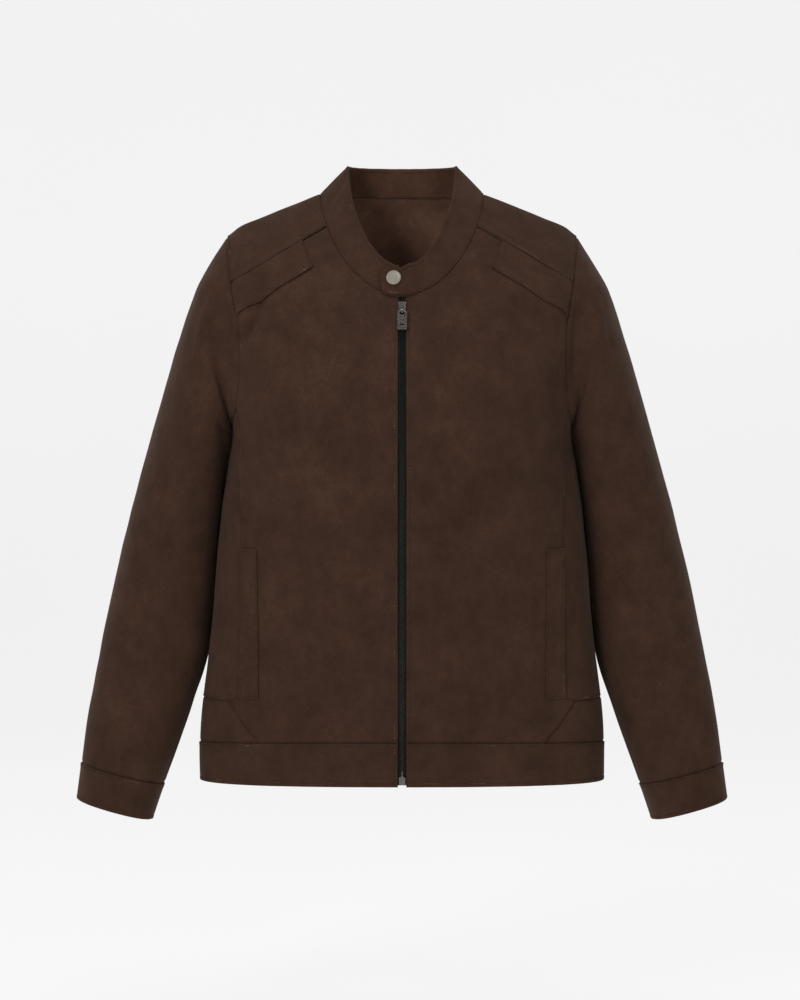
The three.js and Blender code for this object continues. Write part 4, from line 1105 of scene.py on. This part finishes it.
def mark_sharp(mesh, limit=40):
    """Shades a mesh smooth but for edges sharper than a limit in degrees."""
    mesh.polygons.foreach_set("use_smooth", np.ones(len(mesh.polygons), bool))
    mesh.set_sharp_from_angle(angle=math.radians(limit))


def tooth_template():
    """One zip tooth of the wearer's left side: a clamp on the tape and a head past the middle."""
    shape = bmesh.new()
    for centre, size in (((1.75, 0, 0), (2.3, 1.2, 1.6)), ((0.05, 0, 0), (1.5, 0.95, 1.25))):
        made = bmesh.ops.create_cube(shape, size=1.0)["verts"]
        bmesh.ops.scale(shape, vec=size, verts=made)
        bmesh.ops.translate(shape, vec=centre, verts=made)
    bmesh.ops.bevel(shape, geom=list(shape.edges), offset=0.22, segments=1, affect="EDGES")
    vertices = np.array([v.co for v in shape.verts])
    shape.verts.index_update()
    faces = [[v.index for v in face.verts] for face in shape.faces]
    shape.free()
    return vertices, faces


# Finishes


class Value:
    """A socket of a finish, on which Python's operators add Math nodes."""

    def __init__(self, finish, socket):
        self.finish = finish
        self.socket = socket

    def math(self, operation, first, second):
        return self.finish.node("ShaderNodeMath", {"operation": operation}, {0: first, 1: second})

    def __add__(self, other):
        return self.math("ADD", self, other)

    def __radd__(self, other):
        return self.math("ADD", other, self)

    def __sub__(self, other):
        return self.math("SUBTRACT", self, other)

    def __rsub__(self, other):
        return self.math("SUBTRACT", other, self)

    def __mul__(self, other):
        return self.math("MULTIPLY", self, other)

    def __rmul__(self, other):
        return self.math("MULTIPLY", other, self)

    def __pow__(self, other):
        return self.math("POWER", self, other)


class Finish:
    """A procedural material in the making."""

    def __init__(self, name):
        self.material = bpy.data.materials.new(name)
        self.material.use_nodes = True
        self.tree = self.material.node_tree
        self.tree.nodes.clear()

    def node(self, kind, settings=None, inputs=None, output=0):
        """Adds a node: its settings first, then the values or links of its sockets."""
        node = self.tree.nodes.new(kind)
        for name, value in (settings or {}).items():
            if name == "stops":
                self.set_stops(node.color_ramp, value)
            else:
                setattr(node, name, value)
        for name, value in (inputs or {}).items():
            if isinstance(value, Value):
                self.tree.links.new(value.socket, node.inputs[name])
            else:
                node.inputs[name].default_value = value
        return Value(self, node.outputs[output]) if len(node.outputs) else node

    def set_stops(self, ramp, stops):
        while len(ramp.elements) < len(stops):
            ramp.elements.new(0.5)
        for element, (position, colour) in zip(ramp.elements, stops):
            element.position = position
            element.color = colour

    def place(self):
        return self.node("ShaderNodeTexCoord", output=3)

    def stretched(self, scale):
        return self.node("ShaderNodeMapping", inputs={"Vector": self.place(), "Scale": scale})

    def noise(self, scale, detail=2.0, roughness=0.5, vector=None):
        inputs = {"Vector": vector or self.place(), "Scale": scale, "Detail": detail, "Roughness": roughness}
        return self.node("ShaderNodeTexNoise", inputs=inputs)

    def range(self, value, low, high, to_low=0.0, to_high=1.0):
        inputs = {"Value": value, "From Min": low, "From Max": high, "To Min": to_low, "To Max": to_high}
        return self.node("ShaderNodeMapRange", {"clamp": True}, inputs)

    def mixed(self, share, first, second, blend="MIX"):
        settings = {"data_type": "RGBA", "blend_type": blend}
        return self.node("ShaderNodeMix", settings, {0: share, 6: first, 7: second}, output=2)

    def bump(self, height, strength, distance, normal=None):
        inputs = {"Height": height, "Strength": strength, "Distance": distance}
        if normal:
            inputs["Normal"] = normal
        return self.node("ShaderNodeBump", inputs=inputs)

    def done(self, inputs):
        shader = self.node("ShaderNodeBsdfPrincipled", inputs=inputs)
        self.node("ShaderNodeOutputMaterial", inputs={"Surface": shader})
        return self.material


def linear(colour):
    """A colour property's value with alpha, for a shader's socket."""
    return (*colour[:3], 1.0)


def shaded(colour, factor):
    return tuple(min(c * factor, 1.0) for c in colour[:3]) + (1.0,)


def suede_finish(name, colour, warmth=1.0, strength=1.0):
    """Brushed suede: cloudy patches where the nap lies one way or the other, over a fine short nap."""
    f = Finish(name)
    clouds = f.noise(20.0, 3.0, 0.6)
    strokes = f.noise(62.0, 4.0, 0.65, f.stretched((1.0, 1.0, 0.75)))
    nap = f.noise(900.0, 3.0, 0.7, f.stretched((1.0, 1.0, 0.55)))
    grain = f.noise(260.0, 3.0, 0.6)
    lie = clouds * 0.5 + strokes * 0.5
    tone = f.node(
        "ShaderNodeValToRGB",
        {
            "stops": [
                (0.36, shaded(colour, 0.8)),
                (0.5, shaded(colour, 1.0)),
                (0.64, shaded(colour, 1.22)),
            ]
        },
        {"Fac": lie},
    )
    speckle = f.range(nap, 0.3, 0.7, 0.86, 1.14)
    worn = f.range(grain, 0.35, 0.7, 0.93, 1.08)
    base = f.mixed(1.0, tone, speckle * worn, "MULTIPLY")
    low = f.bump(strokes, 0.25 * strength, 0.0012)
    mid = f.bump(grain, 0.35 * strength, 0.0006, low)
    fine = f.bump(nap, 0.5 * strength, 0.0004, mid)
    rough = f.range(lie, 0.35, 0.65, 0.98, 0.86)
    return f.done(
        {
            "Base Color": base,
            "Roughness": rough,
            "Normal": fine,
            "Specular IOR Level": 0.12,
            "Sheen Weight": 0.08,
            "Sheen Roughness": 0.5,
            "Sheen Tint": (0.62, 0.5 * warmth, 0.42 * warmth, 1.0),
        }
    )


def thread_finish(name, colour, rubbed_colour):
    """Thread in the suede's brown, rubbed pale here and there."""
    f = Finish(name)
    twist = f.noise(1500.0, 2.0)
    along_seam = f.noise(48.0, 3.0)
    rubbed = f.range(along_seam, 0.58, 0.72) * f.range(twist, 0.4, 0.6)
    base = f.mixed(rubbed, linear(colour), linear(rubbed_colour))
    normal = f.bump(twist, 0.5, 0.0002)
    return f.done({"Base Color": base, "Roughness": 0.85, "Normal": normal, "Specular IOR Level": 0.1})


def tape_finish(name, colour):
    """A woven zip tape with a fine rib."""
    f = Finish(name)
    inputs = {"Vector": f.place(), "Scale": 900.0, "Distortion": 0.4}
    rib = f.node("ShaderNodeTexWave", {"bands_direction": "DIAGONAL"}, inputs, output=1)
    lint = f.noise(500.0, 3.0)
    shade = f.range(rib, 0.0, 1.0, 0.75, 1.2) * f.range(lint, 0.3, 0.7, 0.8, 1.2)
    base = f.mixed(1.0, linear(colour), shade, "MULTIPLY")
    return f.done({"Base Color": base, "Roughness": 0.85, "Normal": f.bump(rib, 0.5, 0.0003)})


def metal_finish(name, colour, roughness, tarnish, wear=0.3):
    """Cast and plated metal, cloudy where it is handled."""
    f = Finish(name)
    smear = f.noise(420.0, 4.0, 0.6)
    scratch = f.noise(900.0, 3.0, 0.6, f.stretched((1.0, 1.0, 0.12)))
    dull = f.range(smear, 0.4, 0.7) * wear
    base = f.mixed(dull, linear(colour), linear(tarnish))
    rough = f.range(scratch, 0.3, 0.7, roughness * 0.75, roughness * 1.35)
    normal = f.bump(scratch, 0.05, 0.0001)
    return f.done({"Base Color": base, "Metallic": 1.0, "Roughness": rough, "Normal": normal})


def enamel_finish(name, colour):
    f = Finish(name)
    cloud = f.noise(160.0, 3.0)
    fleck = f.noise(1400.0, 2.0)
    shade = f.range(cloud, 0.35, 0.65, 0.9, 1.08) * f.range(fleck, 0.3, 0.7, 0.95, 1.04)
    base = f.mixed(1.0, linear(colour), shade, "MULTIPLY")
    normal = f.bump(fleck, 0.1, 0.0001)
    return f.done({"Base Color": base, "Metallic": 0.25, "Roughness": 0.42, "Normal": normal})


def studio_finish(name, colour):
    f = Finish(name)
    base = f.mixed(f.range(f.noise(1.5), 0.3, 0.7), shaded(colour, 0.22), shaded(colour, 0.21))
    glow = {"Emission Color": linear(colour), "Emission Strength": BACKDROP_GLOW}
    return f.done({"Base Color": base, "Roughness": 0.95, "Specular IOR Level": 0.05, **glow})


FINISHES = {}


def finish(name):
    """A finish by name, made the first time that it is asked for."""
    look = bpy.context.scene.jacket_look
    makers = {
        "suede": lambda n: suede_finish(n, look.suede),
        # The inside finishes carry painted light: they are brighter than the suede so that the shaded insides
        # at the neck read as lit
        "suede_inside": lambda n: suede_finish(n, look.suede_inside, 0.9, 0.7),
        # Painted light: the collar's inside is the outside suede made 1.7 times brighter, a lit copy for where
        # it shows at the neck
        "collar_inside": lambda n: suede_finish(n, shaded(look.suede, 1.7), 0.9, 0.7),
        "thread": lambda n: thread_finish(n, look.thread, look.thread_rubbed),
        "zip_tape": lambda n: tape_finish(n, look.tape),
        "zip_teeth": lambda n: metal_finish(n, look.teeth, 0.34, (0.03, 0.035, 0.03), 0.7),
        "steel": lambda n: metal_finish(n, look.steel, 0.2, (0.05, 0.045, 0.04), 0.6),
        "snap_enamel": lambda n: enamel_finish(n, look.snap),
        "studio": lambda n: studio_finish(n, look.backdrop),
    }
    if name not in FINISHES:
        FINISHES[name] = makers[name](name)
    return FINISHES[name]


# What a user can change


def colour_property(name, description, value):
    return bpy.props.FloatVectorProperty(
        name=name, description=description, default=value, subtype="COLOR", size=3, min=0.0, max=1.0
    )


def length_property(name, description, value, low, high):
    return bpy.props.FloatProperty(
        name=name, description=description, default=value, min=low, max=high, unit="LENGTH", precision=5
    )


class JacketSewing(bpy.types.PropertyGroup):
    """Sizes of the sewing and of the zip's teeth."""

    stitch_pitch: length_property("Stitch pitch", "From one topstitch to the next", 0.0036, 0.001, 0.02)
    stitch_long: length_property("Stitch length", "Thread that shows in one stitch", 0.0025, 0.0005, 0.02)
    stitch_wide: length_property("Thread width", "Width of the thread", 0.00075, 0.0002, 0.003)
    stitch_thick: length_property("Thread height", "How proud the thread lies", 0.0005, 0.0001, 0.003)
    tooth_pitch: length_property("Tooth pitch", "From one tooth to the next on one tape", 0.00254, 0.001, 0.01)


class JacketLook(bpy.types.PropertyGroup):
    """Colours of the jacket's finishes."""

    suede: colour_property("Suede", "The napped outside", (0.0427, 0.0207, 0.0127))
    # Painted light: the inside's own redder flesh colour, made about five times brighter than the suede so
    # that the shaded inside of the neck reads as lit
    suede_inside: colour_property("Suede inside", "The plain inside of the cloth", (0.2, 0.105, 0.07))
    thread: colour_property("Thread", "Topstitching", (0.032, 0.0165, 0.0105))
    thread_rubbed: colour_property("Rubbed thread", "Topstitching where it has paled", (0.3, 0.19, 0.115))
    tape: colour_property("Zip tape", "The woven tape behind the teeth", (0.007, 0.0065, 0.006))
    teeth: colour_property("Zip teeth", "Plated teeth", (0.03, 0.032, 0.026))
    steel: colour_property("Steel", "Slider, pull and stop", (0.17, 0.16, 0.15))
    snap: colour_property("Snap", "The snap's cap", (0.25, 0.225, 0.19))
    backdrop: colour_property("Backdrop", "Floor and backdrop", (0.92, 0.92, 0.92))


# Pieces

SEWN = {}
# Finishes of the insides that aren't the usual inside: the collar's shows at the neck and is the suede made
# 1.7 times brighter, painted light; no sleeve's shows, so it is the suede
INSIDES = {"collar": "collar_inside", "sleeve": "suede"}
PANEL_EDGES = {
    "front": {"start": ZIP_EDGE, "end": LAP, "bottom": BAND_TUCK, "top": DEEP_TUCK},
    "side": {"start": TUCK, "end": TUCK, "bottom": LAP, "top": LAP},
    "hip": {"start": TUCK, "end": TUCK, "bottom": BAND_TUCK, "top": TUCK},
    "yoke": {"start": NECK_EDGE, "end": LAP, "bottom": YOKE_LAP, "top": TUCK},
    "back": {"start": LAP, "end": LAP, "bottom": BAND_TUCK, "top": NECK_EDGE},
}
PER_CELL = {"front": (9, 8), "side": (8, 7), "hip": (8, 10), "yoke": (8, 7), "back": (11, 8)}
PATCH_LAP = Edge(0.9, 0.7, (2.6,), reach=8.0)
PATCH_EDGES = {"start": PATCH_LAP, "end": TUCK_ON_TOP, "bottom": PATCH_LAP, "top": TUCK_ON_TOP}
WELT_EDGES = {"start": Edge(0.3, 0.7, (2.2,)), "end": MOUTH, "bottom": LAP, "top": LAP}
SLEEVE_TOP_EDGES = {"bottom": TUCK, "top": BAND_TUCK, "start": LAP, "end": LAP}
SLEEVE_UNDER_EDGES = {"bottom": TUCK, "top": BAND_TUCK, "start": TUCK, "end": TUCK}


def sew(name, cloth, *nodes, held="hung"):
    """Makes a suede piece that stands for its nodes, and keeps its cloth for the stitching."""
    SEWN[name] = cloth
    inside = INSIDES.get(name.split("_")[0], "suede_inside")
    finishes = [finish("suede"), finish(inside)]
    return cloth_piece(f"suede_{name}", cloth, finishes, nodes or (name,), held=held)


class BuildPanels(bpy.types.Operator):
    """Cuts and joins the body: fronts, sides, hips, yokes and the back"""

    bl_idname = "jacket.panels"
    bl_label = "Body panels"

    def execute(self, context):
        for word, side in SIDES:
            for name, patch in PANELS.items():
                sew(f"{name}_{word}", panel_cloth(patch, side, PANEL_EDGES[name], PER_CELL[name]))
        sew("back", panel_cloth(BACK, 1, PANEL_EDGES["back"], PER_CELL["back"]))
        return {"FINISHED"}


class BuildApplied(bpy.types.Operator):
    """Lays the shoulder patches and the pocket welts on the fronts"""

    bl_idname = "jacket.applied"
    bl_label = "Patches and welts"

    def execute(self, context):
        front = PANELS["front"]
        across, up = front.columns, front.rows
        patch_span = (PATCH_FIRST_COLUMN, across, up - PATCH_ROWS, up)
        welt_span = (across - 1, across, POCKET_ROW, POCKET_ROW + CELLS["pocket"])
        for word, side in SIDES:
            patch = panel_cloth(front, side, PATCH_EDGES, (9, 12), patch_span, PATCH_LIFT, PATCH_CLOTH)
            sew(f"shoulder_patch_{word}", patch)
            welt = panel_cloth(front, side, WELT_EDGES, (8, 8), welt_span, PATCH_LIFT, PATCH_CLOTH)
            sew(f"pocket_welt_{word}", welt)
        return {"FINISHED"}


class BuildSleeves(bpy.types.Operator):
    """Sets in the sleeves, each cut in two"""

    bl_idname = "jacket.sleeves"
    bl_label = "Sleeves"

    def execute(self, context):
        full = ARMHOLE_CELLS
        for word, side in SIDES:
            top = sleeve_cloth(side, SLEEVE_FRONT_SEAM - full, SLEEVE_BACK_SEAM, SLEEVE_TOP_EDGES)
            under = sleeve_cloth(side, SLEEVE_BACK_SEAM, SLEEVE_FRONT_SEAM, SLEEVE_UNDER_EDGES)
            sew(f"sleeve_top_{word}", top)
            sew(f"sleeve_under_{word}", under)
        return {"FINISHED"}


class BuildBands(bpy.types.Operator):
    """Joins on the collar with its tab, the hem band and the cuffs"""

    bl_idname = "jacket.bands"
    bl_label = "Collar, hem and cuffs"

    def execute(self, context):
        sew("collar", collar_cloth())
        sew("hem_band", hem_cloth())
        for word, side in SIDES:
            sew(f"cuff_{word}", cuff_cloth(side))
        return {"FINISHED"}


def stitching(name, lines):
    sizes = bpy.context.scene.jacket_sewing
    mm = [v / MM for v in (sizes.stitch_pitch, sizes.stitch_long, sizes.stitch_wide, sizes.stitch_thick)]
    vertices, faces = stitch_mesh(lines, *mm)
    piece = mesh_object(name, vertices, faces, [finish("thread")])
    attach(piece, BODY)
    return piece


class BuildStitching(bpy.types.Operator):
    """Topstitches each seam and turned edge"""

    bl_idname = "jacket.stitching"
    bl_label = "Topstitching"

    def execute(self, context):
        if not SEWN:
            raise RuntimeError("The pieces are sewn before they are topstitched")
        for name, cloth in SEWN.items():
            lines = cloth.stitch_lines()
            if name == "collar":
                lines.append(cloth.stitch_line("top", COLLAR_TURNED.rows[0], inside=True))
                lines.append(cloth.stitch_line("bottom", 2.6, inside=True))
            if lines:
                stitching(f"thread_{name}", lines)
        return {"FINISHED"}


def zip_row_at():
    """Distance down the front's middle line for rows, to lay teeth an even pitch apart."""
    rows = np.linspace(0, HEM_EDGE, 1600)
    points = body(np.zeros_like(rows), rows)
    return rows, run_lengths(points, 0)[0], points[:, 2]


class BuildZip(bpy.types.Operator):
    """Builds the zip: tapes, teeth, slider, pull and bottom stop"""

    bl_idname = "jacket.zip"
    bl_label = "Zip"

    def execute(self, context):
        self.tapes()
        self.teeth()
        self.slider()
        self.stop()
        return {"FINISHED"}

    def tapes(self):
        rows = np.linspace(front_row(BODY_RINGS[HEM_EDGE][4] + TAPE_ABOVE_HEM), front_row(-123), 160)
        for word, side in SIDES:
            lefts = np.linspace(SEAM_GAP / 2, TAPE_WIDTH, 8) * side
            half = along(RINGS["half"], rows)
            angle = np.arcsin(lefts[None] / half[:, None])
            row = np.broadcast_to(rows[:, None], angle.shape)
            cloth = Cloth(body(angle, row), normals_of(body, angle, row), TAPE_CLOTH, {}, -BAND_CLOTH, wave=0)
            cloth_piece(
                f"tape_{word}", cloth, [finish("zip_tape")] * 2, (f"zip_tape_{word}",), "zip_tape", "stretched"
            )

    def teeth(self):
        template, faces = tooth_template()
        pitch = bpy.context.scene.jacket_sewing.tooth_pitch / MM
        rows, down, heights = zip_row_at()
        order = np.argsort(heights)
        foot = np.interp(BODY_RINGS[HEM_EDGE][4] + STOP["up"] + STOP["long"] + 1, heights[order], down[order])
        head = np.interp(-124.5, heights[order], down[order])
        slider = np.interp(BODY_RINGS[NECK][4] - SLIDER["below"], heights[order], down[order])
        vertices, all_faces = [], []
        for word, side in SIDES:
            shift = 0 if side > 0 else pitch / 2
            for distance in np.arange(head + shift, foot, pitch):
                row = float(np.interp(distance, down, rows))
                part = smooth((slider - distance) / 14.0) * 1.6
                matrix = zip_frame(row, -CHAIN_SUNK - CHAIN_THICKNESS / 2)
                base = len(vertices)
                for x, y, z in template:
                    vertices.append(matrix @ (Vector(((x + part) * side, y, z)) * MM) / MM)
                turn = 1 if side > 0 else -1
                all_faces += [[base + i for i in face[::turn]] for face in faces]
        piece = mesh_object("zip_teeth", vertices, all_faces, [finish("zip_teeth")], smooth_faces=False)
        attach(piece, BODY)
        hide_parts("zip_chain")

    def slider(self):
        row = front_row(BODY_RINGS[NECK][4] - SLIDER["below"])
        thick = SLIDER["thick"]
        outline = rounded_outline(SLIDER["top"], SLIDER["foot"], SLIDER["long"], SLIDER["corner"])
        plate = bevelled_plate("slider_plate", outline, [], thick, 0.45)
        axis = thick + ARCH["height"]
        arch = bevelled_plate("slider_arch", arch_outline(axis, thick / 2), [], ARCH["wide"], 0.35)
        place = zip_frame(row, SLIDER["lift"])
        upright = Matrix(((0, 0, 1, 0), (1, 0, 0, ARCH["above"] * MM), (0, 1, 0, 0), (0, 0, 0, 1)))
        raised = Matrix.Translation((0, 0, thick / 2 * MM))
        placed = [(plate, place @ raised), (arch, place @ upright)]
        metal_piece(joined_meshes("slider", placed, finish("steel")), BODY, "steel", "zip_slider")
        long, half_bar = PULL["long"], PULL["bar"] / 2
        outline = rounded_outline(PULL["wide"], PULL["wide"], long, PULL["corner"])
        window_up = long / 2 - PULL["bar"] - PULL_WINDOW["long"] / 2
        window = rounded_outline(PULL_WINDOW["wide"], PULL_WINDOW["wide"], PULL_WINDOW["long"], 0.9, window_up)
        slot_up = -long / 2 + PULL_SLOT["up"]
        slot = rounded_outline(PULL_SLOT["wide"], PULL_SLOT["wide"], PULL_SLOT["long"], 0.94, slot_up)
        pull = bevelled_plate("pull_plate", outline, [window, slot], PULL["thick"], 0.4)
        hang = zip_frame(row, SLIDER["lift"] + axis)
        hang = hang @ Matrix.Translation((0, (ARCH["above"] - long / 2 + half_bar) * MM, 0))
        metal_piece(joined_meshes("pull", [(pull, hang)], finish("steel")), "zip_pull", "steel", "zip_pull")

    def stop(self):
        row = front_row(BODY_RINGS[HEM_EDGE][4] + STOP["up"] + STOP["long"] / 2)
        outline = rounded_outline(STOP["wide"], STOP["wide"], STOP["long"], STOP["corner"])
        plate = bevelled_plate("stop_plate", outline, [], STOP["thick"], 0.5)
        place = zip_frame(row, -CHAIN_SUNK - CHAIN_THICKNESS + STOP["thick"] / 2)
        metal_piece(joined_meshes("bottom_stop", [(plate, place)], finish("steel")), BODY, "steel", "zip_stop")


class BuildSnap(bpy.types.Operator):
    """Sets the snap's cap on the tab"""

    bl_idname = "jacket.snap"
    bl_label = "Snap"

    def execute(self, context):
        radius, height = SNAP["radius"], SNAP["height"]
        profile = [(0, 0), (radius - 0.8, 0), (radius - 0.1, 0.5), (radius, 1.0)]
        rim = 0.9
        for t in (0.3, 0.8, 1.2, 1.57):
            profile.append((radius - rim + rim * math.cos(t), height - rim + rim * math.sin(t)))
        profile += [(radius - 2.0, height - 0.05), (radius - 2.6, height - 0.2), (radius * 0.4, height - 0.12)]
        turns = np.radians(np.arange(0, 360, 7.5))
        vertices = [(0, 0, 0)] + [(r * math.cos(t), r * math.sin(t), z) for r, z in profile[1:] for t in turns]
        vertices.append((0, 0, height - 0.1))
        n = len(turns)
        faces = [(0, 1 + (i + 1) % n, 1 + i) for i in range(n)]
        for k in range(len(profile) - 2):
            base = 1 + k * n
            faces += [(base + i, base + (i + 1) % n, base + n + (i + 1) % n, base + n + i) for i in range(n)]
        base = 1 + (len(profile) - 2) * n
        faces += [(base + i, base + (i + 1) % n, len(vertices) - 1) for i in range(n)]
        half_there = lerp(BODY_RINGS[NECK][0], COLLAR_RING[0], SNAP["up"])
        angle, up = np.array([math.asin(SNAP["x"] / half_there)]), np.array([SNAP["up"]])
        p, normal = collar_surface(angle, up)[0], collar_normals(angle, up)[0]
        turn = Vector((0, 0, 1)).rotation_difference(Vector(normal)).to_matrix()
        seat = Vector(p + normal * (TAB_LIFT + 0.15))
        placed = [turn @ Vector(v) + seat for v in vertices]
        piece = mesh_object("snap", placed, faces, [finish("snap_enamel")])
        metal_piece(piece, BODY, "steel", "snap_cap")
        return {"FINISHED"}


CAMERA_AT = (-0.0023, -3.1, -0.347)
CAMERA_LENS = 98.5
FLOOR = -0.95
WORLD_LIGHT = 0.18
BACKDROP_GLOW = 0.84
LIGHTS = (
    ("key", (-1.6, -2.6, 0.9), (0.9, 0.9), 42.0),
    ("fill", (1.7, -2.5, 0.7), (1.6, 1.6), 13.0),
    ("top", (0.0, -0.6, 2.0), (1.4, 1.0), 21.0),
    ("rim_left", (-2.0, 1.2, 0.6), (0.8, 1.8), 8.0),
    ("rim_right", (2.0, 1.2, 0.6), (0.8, 1.8), 8.0),
)


class BuildStudio(bpy.types.Operator):
    """Sets up the pale floor and backdrop, the soft lights and the camera"""

    bl_idname = "jacket.studio"
    bl_label = "Studio"

    def execute(self, context):
        scene = context.scene
        self.backdrop()
        for name, place, size, power in LIGHTS:
            light = bpy.data.lights.new(name, "AREA")
            light.shape = "RECTANGLE"
            light.size, light.size_y = size
            light.energy = power
            lamp = bpy.data.objects.new(name, light)
            lamp.location = place
            lamp.rotation_euler = (Vector((0, 0, -0.35)) - Vector(place)).to_track_quat("-Z", "Y").to_euler()
            scene.collection.objects.link(lamp)
        scene.world = bpy.data.worlds.new("studio_light")
        scene.world.use_nodes = True
        scene.world.node_tree.nodes["Background"].inputs["Color"].default_value = (1, 1, 1, 1)
        scene.world.node_tree.nodes["Background"].inputs["Strength"].default_value = WORLD_LIGHT
        scene.view_settings.view_transform = "Standard"
        camera = bpy.data.cameras.new("photo_camera")
        camera.sensor_fit = "VERTICAL"
        camera.sensor_height = 36
        camera.lens = CAMERA_LENS
        view = bpy.data.objects.new("photo_camera", camera)
        view.location = CAMERA_AT
        view.rotation_euler = (math.radians(90), 0, 0)
        scene.collection.objects.link(view)
        scene.camera = view
        return {"FINISHED"}

    def backdrop(self):
        """A floor that curves up into a wall behind."""
        turns = [math.radians(t) for t in range(0, 91, 6)]
        bend = 1.2
        section = [(-8.0, FLOOR)] + [
            (3.0 + bend * math.sin(t), FLOOR + bend * (1 - math.cos(t))) for t in turns
        ] + [(3.0 + bend, 6.0)]
        vertices = [(x / MM, y / MM, z / MM) for x in (-9.0, 9.0) for y, z in section]
        n = len(section)
        faces = [(k, k + 1, n + k + 1, n + k) for k in range(n - 1)]
        sweep = mesh_object("studio_sweep", vertices, [f[::-1] for f in faces], [finish("studio")])


OPERATORS = (
    BuildStudio,
    BuildPanels,
    BuildApplied,
    BuildSleeves,
    BuildBands,
    BuildStitching,
    BuildZip,
    BuildSnap,
)


class JacketPanel(bpy.types.Panel):
    """Lists the jacket's sizes, colours and building steps"""

    bl_idname = "VIEW3D_PT_jacket"
    bl_label = "Suede jacket"
    bl_space_type = "VIEW_3D"
    bl_region_type = "UI"
    bl_category = "Jacket"

    def draw(self, context):
        for group in (context.scene.jacket_sewing, context.scene.jacket_look):
            box = self.layout.box()
            for name in type(group).__annotations__:
                box.prop(group, name)
        for operator in OPERATORS:
            self.layout.operator(operator.bl_idname)


CLASSES = (JacketSewing, JacketLook, *OPERATORS, JacketPanel)


def register():
    for cls in CLASSES:
        bpy.utils.register_class(cls)
    bpy.types.Scene.jacket_sewing = bpy.props.PointerProperty(type=JacketSewing)
    bpy.types.Scene.jacket_look = bpy.props.PointerProperty(type=JacketLook)


def unregister():
    del bpy.types.Scene.jacket_look
    del bpy.types.Scene.jacket_sewing
    for cls in reversed(CLASSES):
        bpy.utils.unregister_class(cls)


def main():
    register()
    for operator in OPERATORS:
        getattr(bpy.ops.jacket, operator.bl_idname.split(".")[1])()


if __name__ == "__main__":
    main()
